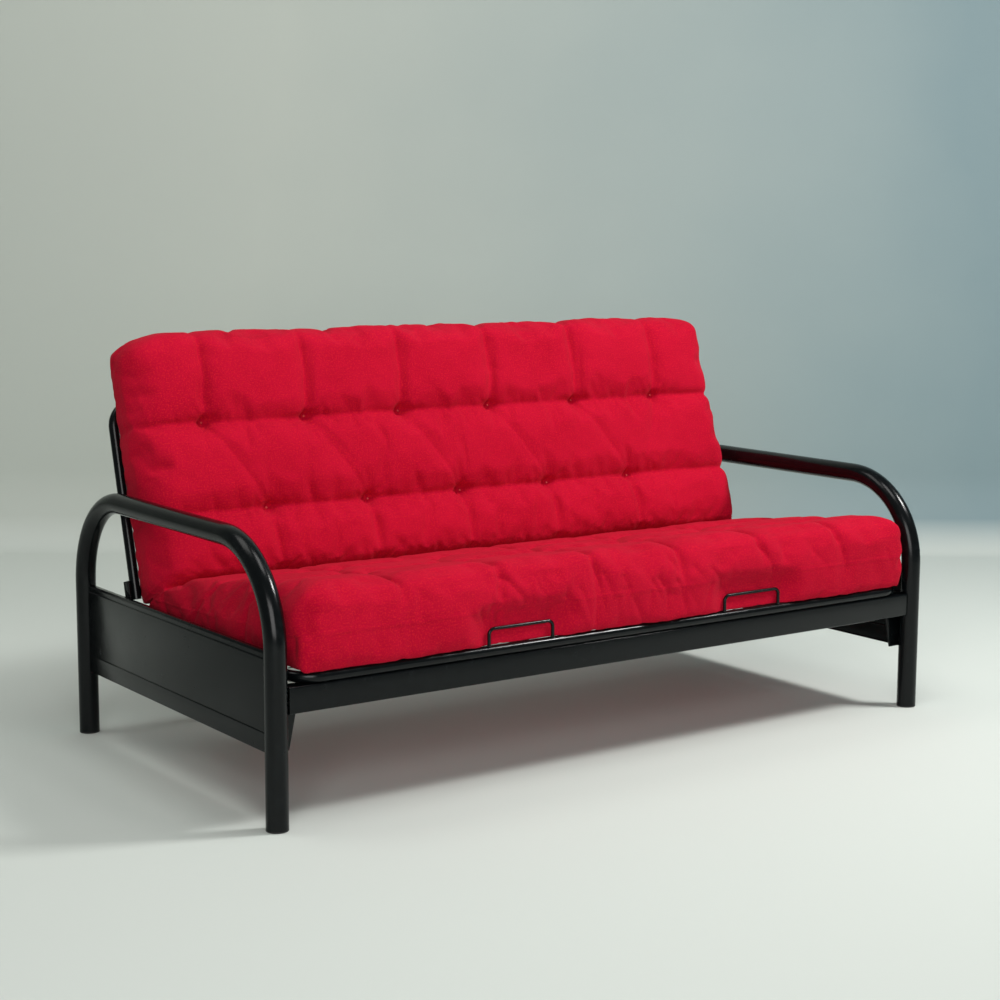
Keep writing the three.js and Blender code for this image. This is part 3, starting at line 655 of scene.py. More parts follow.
class Paintbox:
    """All finishes, each made once and paired with the slot of the record that it stands for."""

    def __init__(self) -> None:
        """Builds the materials."""
        self.enamel = Enamel("gloss_black_enamel", (0.0018, 0.0026, 0.003), 0.19, 0.00006).material()
        self.grid = Enamel("satin_black_enamel", (0.003, 0.0038, 0.0044), 0.34, 0.0001).material()
        self.zinc = ZincPlate().material()
        self.glide = Moulded("black_glide_plastic", (0.012, 0.012, 0.013), 0.55).material()
        self.nylon = Moulded("natural_nylon", (0.66, 0.63, 0.54), 0.45).material()
        self.cotton = CottonWeave("red_cotton_duck", (0.455, 0.002, 0.025), (0.36, 0.001, 0.018)).material()
        self.yarn = CottonWeave("tuft_yarn", (0.7, 0.12, 0.12), (0.6, 0.05, 0.06)).material()
        self.slots = {
            self.enamel: "frame_enamel",
            self.grid: "grid_enamel",
            self.zinc: "zinc_steel",
            self.glide: "glide_plastic",
            self.nylon: "nylon",
            self.cotton: "mattress_cotton",
            self.yarn: "mattress_cotton",
        }


# ---------------------------------------------------------------------------------------------
# Workshop: what the sub-assemblies share
# ---------------------------------------------------------------------------------------------


class Workshop:
    """Makes pieces from paths, points and CAD nodes, and hangs them on their bodies."""

    def __init__(self) -> None:
        """Builds the finishes and the trees."""
        self.paint = Paintbox()
        self.tubes = tube_tree()
        self.grids = grid_tree()
        self.fasteners = fastener_tree()
        self.welds = weld_tree()
        self.knots = knot_tree()

    def new_piece(self, name: str, mesh: bpy.types.Mesh) -> bpy.types.Object:
        """Puts a mesh into the scene as a piece at the origin.

        Args:
            name: The piece's name.
            mesh: Its mesh.

        Returns:
            The piece.
        """
        piece = bpy.data.objects.new(name, mesh)
        bpy.context.scene.collection.objects.link(piece)
        return piece

    def path_piece(self, name: str, corners: list[Vector]) -> bpy.types.Object:
        """A piece whose mesh is only a line.

        Args:
            name: The piece's name.
            corners: The points that the line joins.

        Returns:
            The piece.
        """
        mesh = bpy.data.meshes.new(name)
        mesh.from_pydata([tuple(p) for p in corners], [(i, i + 1) for i in range(len(corners) - 1)], [])
        return self.new_piece(name, mesh)

    def point_piece(self, name: str, places: list[tuple[Vector, Vector]]) -> bpy.types.Object:
        """A piece whose mesh is only points, each with the axis that its copy follows.

        Args:
            name: The piece's name.
            places: Pairs of a point and its axis.

        Returns:
            The piece.
        """
        mesh = bpy.data.meshes.new(name)
        mesh.from_pydata([tuple(p) for p, _ in places], [], [])
        axes = mesh.attributes.new("axis", "FLOAT_VECTOR", "POINT")
        axes.data.foreach_set("vector", np.array([tuple(a) for _, a in places], np.float32).ravel())
        return self.new_piece(name, mesh)

    def bake(self, piece: bpy.types.Object, sharp: float = 35.0) -> bpy.types.Object:
        """Turns a piece with modifiers into a plain mesh.

        Args:
            piece: The piece.
            sharp: Edges over this many degrees stay sharp in shading.

        Returns:
            The same piece.
        """
        graph = bpy.context.evaluated_depsgraph_get()
        mesh = bpy.data.meshes.new_from_object(piece.evaluated_get(graph), depsgraph=graph)
        piece.modifiers.clear()
        piece.data = mesh
        mesh.name = piece.name
        mesh.shade_smooth()
        mesh.set_sharp_from_angle(angle=math.radians(sharp))
        return piece

    def hang(self, piece: bpy.types.Object, body: Body, material: bpy.types.Material, *nodes: str) -> None:
        """Lets a piece ride on its body, in place of the CAD nodes that it stands for.

        Args:
            piece: The finished piece.
            body: The body that it moves with.
            material: Its finish, which also gives its slot.
            *nodes: CAD nodes that it replaces.
        """
        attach(piece, body.value)
        if nodes:
            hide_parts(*nodes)
        log.info("%s rides on %s", piece.name, body.value)

    def tube(
        self,
        name: str,
        corners: list[Vector],
        radius: float,
        bend: float = 0.0,
        wall: float = 0.0,
        sides: int = 40,
    ) -> bpy.types.Object:
        """material: Not used.

        Args:
            name: The piece's name.
            corners: The corners of its centreline.
            radius: Outside radius.
            bend: Radius of the bends.
            wall: Wall thickness, or 0 for solid wire.
            sides: Facets round the tube.

        Returns:
            The baked piece.
        """
        piece = self.path_piece(name, corners)
        self.tubes.apply(
            piece,
            self.paint.enamel,
            Radius=radius,
            Bend_Radius=bend,
            Bend_Steps=20,
            Sides=sides,
            Capped=wall == 0.0,
        )
        if wall:
            shell = piece.modifiers.new("wall", "SOLIDIFY")
            shell.thickness = wall
            shell.offset = -1.0
        return self.bake(piece)

    def eased(self, node: str, name: str, width: float, material: bpy.types.Material) -> bpy.types.Object:
        """A copy of a CAD node with its edges rounded, as folded and tumbled metal has them.

        Args:
            node: The CAD node.
            name: The new piece's name.
            width: Width of the rounding.
            material: The finish.

        Returns:
            The baked piece.
        """
        piece = self.new_piece(name, frame["nodes"][node].data.copy())
        shape = bmesh.new()
        shape.from_mesh(piece.data)
        bmesh.ops.remove_doubles(shape, verts=shape.verts, dist=2e-5)
        bmesh.ops.dissolve_limit(
            shape, angle_limit=math.radians(1.0), verts=shape.verts, edges=shape.edges, delimit=set()
        )
        shape.to_mesh(piece.data)
        shape.free()
        piece.data.materials.clear()
        piece.data.materials.append(material)
        rounding = piece.modifiers.new("rounding", "BEVEL")
        rounding.width = width
        rounding.segments = 3
        rounding.limit_method = "ANGLE"
        rounding.angle_limit = math.radians(28.0)
        return self.bake(piece, 40.0)


def evenly(first: float, last: float, count: int) -> tuple[float, ...]:
    """Places spread evenly from the first to the last."""
    return tuple(first + (last - first) * number / (count - 1) for number in range(count))


def middle(node: str) -> Vector:
    """The centre of a CAD node's box."""
    low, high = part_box(node)
    return (Vector(low) + Vector(high)) / 2.0


# ---------------------------------------------------------------------------------------------
# Arms and rails
# ---------------------------------------------------------------------------------------------


@dataclass
class ArmFrame:
    """The fixed frame: two bent hoops, end panels, rails, brackets, bolts and glides."""

    shop: Workshop
    leg_x: float = 0.975
    leg_y: float = 0.5
    foot: float = 0.0033
    arm_height: float = 0.619
    arm_bend: float = 0.225
    tube_radius: float = 0.0254
    tube_wall: float = 0.0016
    tube_sides: int = 56
    glide_rise: float = 0.003
    glide_chamfer: float = 0.0012
    plug_gap: float = 0.001
    plug_length: float = 0.015
    sheet_easing: float = 0.0006
    plate_easing: float = 0.0007
    bolt_flats: float = 0.0128
    bolt_head: float = 0.0053
    bolt_radius: float = 0.004
    pivot_flats: float = 0.016
    pivot_head: float = 0.0064
    pivot_radius: float = 0.005
    nut_height: float = 0.008
    head_chamfer: float = 0.0006
    washer_easing: float = 0.0003

    def build(self) -> None:
        """Builds and dresses every piece of the frame."""
        for side, sign in SIDES.items():
            self.hoop(side, sign)
            self.sheet(f"{side}_end_panel", f"{side}_panel_sheet", self.sheet_easing)
            self.pivot(side)
            for place, end in (("front", -1.0), ("rear", 1.0)):
                corner = f"{place}_{side}_corner"
                self.sheet(f"{corner}_bracket", f"{corner}_plate", self.plate_easing)
                self.glide(place, side, sign, end)
        for place in ("front", "rear"):
            self.sheet(f"{place}_rail", f"{place}_rail_tube", self.sheet_easing)
        self.rail_bolts()
        self.pivot_hardware()

    def hoop(self, side: str, sign: float) -> None:
        """One bent tube: front leg, armrest and rear leg.

        Args:
            side: Its side's name.
            sign: The sign of X on that side.
        """
        x = sign * self.leg_x
        corners = [
            Vector((x, -self.leg_y, self.foot)),
            Vector((x, -self.leg_y, self.arm_height)),
            Vector((x, self.leg_y, self.arm_height)),
            Vector((x, self.leg_y, self.foot)),
        ]
        name = f"{side}_arm_tube"
        radius, wall = self.tube_radius, self.tube_wall
        piece = self.shop.tube(name, corners, radius, self.arm_bend, wall, self.tube_sides)
        self.shop.hang(piece, Body.ARMS, self.shop.paint.enamel, f"{side}_arm_hoop")

    def sheet(self, node: str, name: str, width: float) -> None:
        """An enamelled steel piece that keeps a CAD node's shape, with rounded edges.

        Args:
            node: The CAD node.
            name: The piece's name.
            width: Width of the rounding.
        """
        piece = self.shop.eased(node, name, width, self.shop.paint.enamel)
        self.shop.hang(piece, Body.ARMS, self.shop.paint.enamel, node)

    def glide(self, place: str, side: str, sign: float, end: float) -> None:
        """A round plastic cap under a leg, its plug inside the tube.

        Args:
            place: Front or rear.
            side: Its side's name.
            sign: The sign of X on that side.
            end: The sign of Y at that end.
        """
        plug = self.tube_radius - self.tube_wall - self.plug_gap
        rim = self.tube_radius
        tip = self.glide_rise + self.plug_length
        profile = [
            (0.0, 0.0),
            (rim - 2 * self.glide_chamfer, 0.0),
            (rim - 0.3 * self.glide_chamfer, 0.3 * self.glide_chamfer),
            (rim, self.glide_chamfer),
            (rim, self.glide_rise),
            (plug, self.glide_rise),
            (plug, tip - self.plug_gap),
            (plug - self.plug_gap, tip),
            (0.0, tip),
        ]
        shape = bmesh.new()
        line = [shape.verts.new((sign * self.leg_x + r, end * self.leg_y, z)) for r, z in profile]
        edges = [shape.edges.new(pair) for pair in zip(line, line[1:])]
        bmesh.ops.spin(
            shape,
            geom=line + edges,
            cent=(sign * self.leg_x, end * self.leg_y, 0.0),
            axis=(0, 0, 1),
            angle=math.tau,
            steps=48,
        )
        bmesh.ops.remove_doubles(shape, verts=shape.verts, dist=1e-6)
        bmesh.ops.recalc_face_normals(shape, faces=shape.faces)
        mesh = bpy.data.meshes.new(f"{place}_{side}_glide")
        shape.to_mesh(mesh)
        shape.free()
        mesh.materials.append(self.shop.paint.glide)
        piece = self.shop.bake(self.shop.new_piece(f"{place}_{side}_floor_glide", mesh))
        self.shop.hang(piece, Body.ARMS, self.shop.paint.glide, f"{place}_{side}_leg_glide")

    def rail_bolts(self) -> None:
        """The eight hexagon bolts that hold the rails to their corner brackets."""
        nodes = [
            f"{place}_{side}_rail_bolt_{level}"
            for place in ("front", "rear")
            for side in SIDES
            for level in ("lower", "upper")
        ]
        places = []
        for node in nodes:
            low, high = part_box(node)
            outward = -1.0 if node.startswith("front") else 1.0
            inner = high[1] if outward < 0 else low[1]
            centre = middle(node)
            face = Vector((centre.x, inner + outward * self.bolt_head, centre.z))
            places.append((face, Vector((0, outward, 0))))
        low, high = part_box(nodes[0])
        length = high[1] - low[1] - self.bolt_head
        self.hexagons("rail_bolts", places, self.bolt_flats, self.bolt_head, self.bolt_radius, length, nodes)

    def pivot_hardware(self) -> None:
        """Pivot bolts and their nuts on both sides."""
        bolts, nuts = [], []
        for side, sign in SIDES.items():
            bolt, nut = f"{side}_pivot_bolt", f"{side}_pivot_nut"
            low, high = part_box(bolt)
            inner = min(abs(low[0]), abs(high[0]))
            centre = middle(bolt)
            face = Vector((sign * (inner + self.pivot_head), centre.y, centre.z))
            bolts.append((face, Vector((sign, 0, 0))))
            low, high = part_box(nut)
            inner = min(abs(low[0]), abs(high[0]))
            nuts.append((Vector((sign * inner, centre.y, centre.z)), Vector((-sign, 0, 0))))
        low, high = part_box("left_pivot_bolt")
        length = high[0] - low[0] - self.pivot_head
        flats, head = self.pivot_flats, self.pivot_head
        nodes = [f"{side}_pivot_bolt" for side in SIDES]
        self.hexagons("pivot_bolts", bolts, flats, head, self.pivot_radius, length, nodes)
        nodes = [f"{side}_pivot_nut" for side in SIDES]
        bore, lip = 0.9 * self.pivot_radius, 0.0005
        self.hexagons("pivot_nuts", nuts, flats, self.nut_height, bore, lip, nodes)

    def hexagons(
        self,
        name: str,
        places: list[tuple[Vector, Vector]],
        flats: float,
        height: float,
        radius: float,
        length: float,
        nodes: list[str],
    ) -> None:
        """A set of equal hexagon fasteners as one piece.

        Args:
            name: The piece's name.
            places: Bearing faces and shank directions.
            flats: Width across flats.
            height: Height of the head.
            radius: Radius of the shank.
            length: Length of the shank.
            nodes: The CAD nodes that they replace.
        """
        piece = self.shop.point_piece(name, places)
        self.shop.fasteners.apply(
            piece,
            self.shop.paint.zinc,
            Head_Radius=flats / 2.0 / math.cos(math.pi / 6.0),
            Head_Height=height,
            Shank_Radius=radius,
            Shank_Length=length,
        )
        rounding = piece.modifiers.new("chamfer", "BEVEL")
        rounding.width = self.head_chamfer
        rounding.segments = 2
        rounding.angle_limit = math.radians(30.0)
        self.shop.hang(self.shop.bake(piece), Body.ARMS, self.shop.paint.zinc, *nodes)

    def pivot(self, side: str) -> None:
        """The top-hat bracket and the nylon washers of one hinge.

        Args:
            side: The hinge's side.
        """
        self.sheet(f"{side}_pivot_bracket", f"{side}_pivot_carrier", self.plate_easing)
        nylon = self.shop.paint.nylon
        for place in ("inner", "outer"):
            node = f"{side}_{place}_washer"
            piece = self.shop.eased(node, f"{side}_{place}_nylon_washer", self.washer_easing, nylon)
            self.shop.hang(piece, Body.ARMS, nylon, node)


# ---------------------------------------------------------------------------------------------
# Decks
# ---------------------------------------------------------------------------------------------


@dataclass
class Deck:
    """A hinged deck: bent tube, cross and support tubes, wire grid and hinge plates.

    Args:
        shop: The shared workshop.
        name: The deck's name in its nodes.
        body: The body that it is.
        reach: From the hinge line to the far tube's centreline.
        place: Turns the flat deck, hinge line on Y = 0 and grid upwards, into its place.
    """

    shop: Workshop
    name: str
    body: Body
    reach: float
    place: Matrix
    tube_x: float = 0.922
    tube_radius: float = 0.0127
    tube_wall: float = 0.0012
    tube_bend: float = 0.06
    tube_end: float = 0.045
    cross_y: float = 0.065
    support_x: float = 0.305
    support_radius: float = 0.0095
    wire_radius: float = 0.0014
    grid_height: float = 0.0098
    grid_columns: int = 11
    grid_rows: int = 5
    grid_margin: float = 0.072
    grid_start: float = 0.04
    plate_easing: float = 0.0007
    weld_drop: float = 0.0021

    def build(self) -> None:
        """Builds and dresses every piece of the deck."""
        self.frame_tube()
        self.cross_and_supports()
        self.wire_grid()
        self.welds()
        self.hinge_plates()

    def placed(self, points: list[tuple[float, float, float]]) -> list[Vector]:
        """Points of the flat deck, in place."""
        return [self.place @ Vector(p) for p in points]

    def frame_tube(self) -> None:
        """The bent tube round three sides."""
        corners = self.placed(
            [
                (-self.tube_x, self.tube_end, 0.0),
                (-self.tube_x, self.reach, 0.0),
                (self.tube_x, self.reach, 0.0),
                (self.tube_x, self.tube_end, 0.0),
            ]
        )
        name = f"{self.name}_bent_tube"
        piece = self.shop.tube(name, corners, self.tube_radius, self.tube_bend, self.tube_wall)
        self.shop.hang(piece, self.body, self.shop.paint.enamel, f"{self.name}_frame_tube")

    def cross_and_supports(self) -> None:
        """The cross tube beside the hinge line and the two support tubes."""
        end = self.tube_x - self.tube_radius * 0.9
        corners = self.placed([(-end, self.cross_y, 0.0), (end, self.cross_y, 0.0)])
        name = f"{self.name}_hinge_cross_tube"
        piece = self.shop.tube(name, corners, self.tube_radius, 0.0, self.tube_wall)
        self.shop.hang(piece, self.body, self.shop.paint.enamel, f"{self.name}_cross_tube")
        near = self.cross_y + self.tube_radius * 0.95
        far = self.reach - self.tube_radius * 0.95
        for side, sign in SIDES.items():
            corners = self.placed([(sign * self.support_x, near, 0.0), (sign * self.support_x, far, 0.0)])
            name = f"{self.name}_{side}_bearer_tube"
            piece = self.shop.tube(name, corners, self.support_radius, 0.0, self.tube_wall, 32)
            self.shop.hang(piece, self.body, self.shop.paint.enamel, f"{self.name}_{side}_support_tube")

    def wire_grid(self) -> None:
        """The welded wire grid that carries the mattress."""
        shoulder = math.sqrt(self.tube_radius**2 - self.grid_height**2)
        name = f"{self.name}_welded_grid"
        piece = self.shop.new_piece(name, bpy.data.meshes.new(name))
        self.shop.grids.apply(
            piece,
            self.shop.paint.grid,
            Width=2.0 * (self.tube_x - shoulder),
            Near=self.cross_y + shoulder,
            Far=self.reach - shoulder,
            Column_Span=self.tube_x - self.grid_margin,
            First_Row=self.cross_y + shoulder + self.grid_start,
            Last_Row=self.reach - self.tube_bend - 2.0 * self.wire_radius,
            Wire_Radius=self.wire_radius * 0.75,
            Columns=self.grid_columns,
            Rows=self.grid_rows,
        )
        self.shop.bake(piece)
        lift = Matrix.Translation((0.0, 0.0, self.grid_height + self.wire_radius))
        piece.data.transform(self.place @ lift)
        self.shop.hang(piece, self.body, self.shop.paint.grid, f"{self.name}_wire_grid")

    def welds(self) -> None:
        """Weld beads where the cross tube and the supports meet the bent tube."""
        inward = self.tube_x - self.tube_radius
        big = [((sign * inward, self.cross_y, 0.0), (sign, 0.0, 0.0)) for sign in SIDES.values()]
        small = []
        for sign in SIDES.values():
            small.append(((sign * self.support_x, self.cross_y + self.tube_radius, 0.0), (0.0, 1.0, 0.0)))
            small.append(((sign * self.support_x, self.reach - self.tube_radius, 0.0), (0.0, 1.0, 0.0)))
        self.beads(f"{self.name}_cross_welds", big, self.tube_radius * 0.98, 26)
        self.beads(f"{self.name}_bearer_welds", small, self.support_radius, 20)

    def beads(self, name: str, spots: list[tuple[tuple, tuple]], radius: float, drops: int) -> None:
        """Rings of weld drops at spots of the flat deck.

        Args:
            name: The piece's name.
            spots: Centres and axes in the flat deck.
            radius: Radius of each ring.
            drops: Drops in each ring.
        """
        turn = self.place.to_3x3()
        piece = self.shop.point_piece(name, [(self.place @ Vector(p), turn @ Vector(a)) for p, a in spots])
        sizes = {"Ring_Radius": radius, "Drop_Radius": self.weld_drop, "Drops": drops}
        self.shop.welds.apply(piece, self.shop.paint.enamel, **sizes)
        self.shop.hang(self.shop.bake(piece, WELD_SHARP), self.body, self.shop.paint.enamel)

    def hinge_plates(self) -> None:
        """The two hinge plates with softened edges."""
        kind = self.name.split("_")[0]
        for side in SIDES:
            node = f"{side}_{kind}_hinge_plate"
            name = f"{side}_{kind}_hinge_steel"
            piece = self.shop.eased(node, name, self.plate_easing, self.shop.paint.enamel)
            self.shop.hang(piece, self.body, self.shop.paint.enamel, node)


@dataclass
class SeatFittings:
    """What only the seat deck carries: mattress retainers, pawls and their rivets."""

    shop: Workshop
    wire_radius: float = 0.004
    wire_bend: float = 0.014
    plate_easing: float = 0.0006
    rivet_easing: float = 0.0008
    weld_drop: float = 0.0017
    foot_depth: float = 0.0025

    def build(self) -> None:
        """Builds and dresses the fittings."""
        for side in SIDES:
            self.retainer(side)
            body = Body.LEFT_PAWL if side == "left" else Body.RIGHT_PAWL
            zinc = self.shop.paint.zinc
            pawl = self.shop.eased(f"{side}_pawl", f"{side}_ratchet_pawl", self.plate_easing, zinc)
            self.shop.hang(pawl, body, zinc, f"{side}_pawl")
            node = f"{side}_pawl_rivet"
            rivet = self.shop.eased(node, f"{side}_pawl_pin", self.rivet_easing, zinc)
            self.shop.hang(rivet, Body.SEAT, zinc, node)

    def retainer(self, side: str) -> None:
        """A bent wire that stands on the front tube, its feet welded down.

        Args:
            side: The retainer's side.
        """
        node = f"{side}_mattress_retainer"
        low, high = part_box(node)
        y, half = middle(node).y, self.wire_radius
        foot, top = low[2] - self.foot_depth, high[2] - half
        left, right = low[0] + half, high[0] - half
        corners = [Vector((x, y, z)) for x, z in ((left, foot), (left, top), (right, top), (right, foot))]
        piece = self.shop.tube(f"{side}_retainer_wire", corners, self.wire_radius, self.wire_bend, 0.0, 24)
        self.shop.hang(piece, Body.SEAT, self.shop.paint.enamel, node)
        spots = [(Vector((x, y, low[2] + 0.0002)), Vector((0, 0, 1))) for x in (left, right)]
        beads = self.shop.point_piece(f"{side}_retainer_welds", spots)
        sizes = {"Ring_Radius": 1.05 * half, "Drop_Radius": self.weld_drop, "Drops": 12}
        self.shop.welds.apply(beads, self.shop.paint.enamel, **sizes)
        self.shop.hang(self.shop.bake(beads, WELD_SHARP), Body.SEAT, self.shop.paint.enamel)


# ---------------------------------------------------------------------------------------------
# Mattress
# ---------------------------------------------------------------------------------------------


@dataclass(frozen=True)
class Crease:
    """A straight pucker in the cover, in cloth coordinates: across (X) and along the mattress.

    Args:
        start: One end.
        end: The other end.
        depth: How deep it is drawn in at its start.
        fade: Share of the depth left at its end.
        width: How wide the fold opens.
        slack: Share of the depth lost half-way.
    """

    start: tuple[float, float]
    end: tuple[float, float]
    depth: float
    fade: float = 1.0
    width: float = 0.03
    slack: float = 0.0

    def draw(self, x: np.ndarray, s: np.ndarray) -> np.ndarray:
        """How far each point is drawn in.

        Args:
            x: Places across the mattress.
            s: Places along the mattress.

        Returns:
            The depth at each point.
        """
        ax, ay = self.start
        dx, dy = self.end[0] - ax, self.end[1] - ay
        share = np.clip(((x - ax) * dx + (s - ay) * dy) / (dx * dx + dy * dy), 0.0, 1.0)
        away = np.hypot(x - ax - share * dx, s - ay - share * dy)
        depth = self.depth * (1.0 - (1.0 - self.fade) * share)
        depth = depth * (1.0 - 4.0 * self.slack * share * (1.0 - share))
        return depth * np.exp(-away / self.width)


@dataclass
class Mattress:
    """One tufted cotton mattress, folded over the hinge line, as a structured skin."""

    UV_NAME = "cloth"

    shop: Workshop
    half_width: float = 0.915
    seat_length: float = 0.664
    back_length: float = 0.632
    bottom: float = 0.3415
    front_bottom_y: float = -0.518
    front_droop: float = 0.004
    front_top: tuple[float, float] = (-0.511, 0.513)
    fold: tuple[float, float] = (0.141, 0.431)
    corner: tuple[float, float] = (0.2896, 0.3415)
    back_foot: tuple[float, float] = (0.28696, 0.33149)
    back_rise: float = 0.688
    back_top: tuple[float, float] = (0.332, 1.020)
    left_end_round: float = 0.050
    right_end_round: float = 0.024
    rim_round: float = 0.020
    edge_round: float = 0.040
    deck_edge_round: float = 0.007
    step: float = 0.010
    fine_step: float = 0.0042
    fine_reach: float = 0.03
    layers: int = 18
    loft: float = 0.17
    crown: float = 0.014
    side_crown: float = 0.012
    front_crown: float = 0.010
    outer_crease: float = 0.07
    outer_crease_at_ends: float = 0.104
    inner_crease: float = 0.045
    inner_crease_at_ends: float = 0.012
    rows: tuple[float, ...] = (0.22, 0.442, 0.664, 0.844, 1.073)
    tufts: dict[float, tuple[float, ...]] = field(
        default_factory=lambda: {
            0.22: evenly(-0.66, 0.68, 6),
            0.442: evenly(-0.60, 0.57, 5),
            0.664: evenly(-0.60, 0.56, 5),
            0.844: evenly(-0.60, 0.56, 5),
            1.073: evenly(-0.745, 0.705, 6),
        }
    )
    foot_height: float = 0.02
    tube_slope: float = 0.4
    tube_top_y: float = -0.509
    tube_overhang: float = 0.012
    left_bulge: float = 0.019
    right_bulge: float = 0.009
    wire_middles: tuple[float, float] = (-0.336, 0.384)
    wire_half: float = 0.092
    wire_side: float = 0.09
    wire_top: float = 0.388
    wire_rise: float = 0.08
    wire_back: float = -0.5075
    wire_bulge: float = 0.03
    left_slump: float = 0.036
    right_slump: float = 0.010
    seam_height: float = 0.085
    seam_width: float = 0.003
    seam_ridge: float = 0.0016
    puff_height: float = 0.0011
    gather_limit: float = 0.011
    bend_spread: float = 0.022
    knot_radius: float = 0.0028
    knot_lift: float = 0.003
    yarn_radius: float = 0.0007
    filling_frames: int = 16
    tuft_depth: float = 0.027
    row_depth: float = 0.019
    sag: float = 0.010
    fill_reach: float = 0.009
    gather_seed: int = 11

    def __post_init__(self) -> None:
        """Works out the lean of the back deck and the whole length."""
        self.length = self.seat_length + self.back_length
        self.back_dir = np.array([math.sin(BACK_LEAN), math.cos(BACK_LEAN)])
        self.outer_top = np.array(self.back_foot) + self.back_rise * self.back_dir

    # Shape ------------------------------------------------------------------------------------

    def build(self) -> bpy.types.Object:
        """Builds, inflates and dresses the mattress.

        Returns:
            The finished piece.
        """
        self.lay_out()
        points = self.shape()
        piece = self.shop.new_piece("folded_mattress", self.skin(points))
        points = self.inflate(piece, points)
        piece.data.vertices.foreach_set("co", points.astype(np.float32).ravel())
        rounding = piece.modifiers.new("smooth", "SUBSURF")
        rounding.levels = 1
        rounding.render_levels = 1
        self.shop.bake(piece, ALL_SMOOTH)
        self.gather(piece.data)
        piece.data.materials.clear()
        piece.data.materials.append(self.shop.paint.cotton)
        self.hang(piece, "mattress_seat", "mattress_back")
        self.knots(points)
        return piece

    def lay_out(self) -> None:
        """Numbers the skin's grid points: across, along and through the mattress."""
        count = round(2.0 * self.half_width / self.step)
        self.across = np.linspace(-self.half_width, self.half_width, count + 1)
        fold = self.seat_length
        reach = self.fine_reach
        self.along = np.concatenate(
            [
                np.linspace(0.0, fold - reach, round((fold - reach) / self.step) + 1)[:-1],
                np.linspace(fold - reach, fold + reach, round(2.0 * reach / self.fine_step) + 1)[:-1],
                np.linspace(fold + reach, self.length, round((self.length - fold - reach) / self.step) + 1),
            ]
        )
        nx, ns, nt = len(self.across), len(self.along), self.layers + 1
        i, j, k = np.meshgrid(range(nx), range(ns), range(nt), indexing="ij")
        surface = (i == 0) | (i == nx - 1) | (j == 0) | (j == ns - 1) | (k == 0) | (k == nt - 1)
        self.index = np.full((nx, ns, nt), -1)
        self.index[surface] = np.arange(surface.sum())
        self.cells = np.stack([i[surface], j[surface], k[surface]], axis=1)

    def section(self, s: np.ndarray) -> tuple[np.ndarray, np.ndarray]:
        """The outer (deck side) and inner (sitter's side) curve of the folded section.

        Args:
            s: Places along the mattress.

        Returns:
            Two arrays of (y, z) points.
        """
        seat = np.clip(s / self.seat_length, 0.0, 1.0)[:, None]
        back = np.clip((s - self.seat_length) / self.back_length, 0.0, 1.0)[:, None]
        front = np.array([self.front_bottom_y, self.bottom])
        corner, fold = np.array(self.corner), np.array(self.fold)
        outer = front + seat * (corner - front) + back * (self.outer_top - corner)
        inner = np.array(self.front_top) + seat * (fold - np.array(self.front_top))
        inner = inner + back * (np.array(self.back_top) - fold)
        return outer, inner

    def shape(self) -> np.ndarray:
        """The drawn-in, crowned skin before it is inflated.

        Returns:
            The place of every skin point.
        """
        x = self.across[self.cells[:, 0]]
        s = self.along[self.cells[:, 1]]
        outer, inner = self.section(s)
        thick = np.linalg.norm(inner - outer, axis=1)
        t = self.cells[:, 2] / self.layers * thick
        box = np.stack([x, s, t], axis=1)
        low = np.stack([np.full_like(x, -self.half_width), np.zeros_like(x), np.zeros_like(x)], axis=1)
        high = np.stack([np.full_like(x, self.half_width), np.full_like(x, self.length), thick], axis=1)
        end_round = np.where(x < 0, self.left_end_round, self.right_end_round)
        bend = np.stack(
            [
                np.where(t < 0.5 * thick, self.deck_edge_round, end_round),
                np.where(t < 0.5 * thick, self.deck_edge_round, self.rim_round),
                np.where(t < 0.5 * thick, self.deck_edge_round, self.edge_round),
            ],
            axis=1,
        )
        core = np.clip(box, low + bend, high - bend)
        out = (box - core) / bend
        out /= np.maximum(np.linalg.norm(out, axis=1), 1e-9)[:, None]
        box = core + out * bend
        outer, inner = self.section(box[:, 1])
        thick = np.linalg.norm(inner - outer, axis=1)
        through = (inner - outer) / thick[:, None]
        below, above = self.fold_depths(box[:, 0], box[:, 1])
        box[:, 2] = below + box[:, 2] * (1.0 - (below + above) / thick)
        yz = outer + through * box[:, 2:3]
        lengthwise = np.stack([through[:, 1], -through[:, 0]], axis=1)
        normal = np.stack(
            [
                out[:, 0],
                out[:, 1] * lengthwise[:, 0] + out[:, 2] * through[:, 0],
                out[:, 1] * lengthwise[:, 1] + out[:, 2] * through[:, 1],
            ],
            axis=1,
        )
        points = np.stack([box[:, 0], yz[:, 0], yz[:, 1]], axis=1)
        raised, pulled = self.relief(box[:, 0], box[:, 1], box[:, 2] / thick, out)
        points += normal * raised[:, None]
        points[:, 1:] -= through * (pulled * np.where(out[:, 2] < 0, -1.0, 1.0))[:, None]
        self.pull = pulled + below + above
        self.normal = normal
        self.face = out
        points[:, 2] -= self.sag * self.hang_down(box[:, 1], raised, out)
        low_front = np.clip(1.0 - s / 0.02, 0.0, 1.0) * np.clip(1.0 - t / 0.05, 0.0, 1.0)
        points[:, 2] -= self.front_droop * low_front
        return self.keep_clear(self.corner_droop(points))

    def hang_down(self, s: np.ndarray, raised: np.ndarray, out: np.ndarray) -> np.ndarray:
        """How much each point of the back's pillows sags over the crease below it."""
        on_back = np.clip((s - self.seat_length - 0.02) / 0.04, 0.0, 1.0)
        return on_back * np.clip(raised / self.crown, 0.0, 1.0) * np.clip(out[:, 2], 0.0, 1.0)

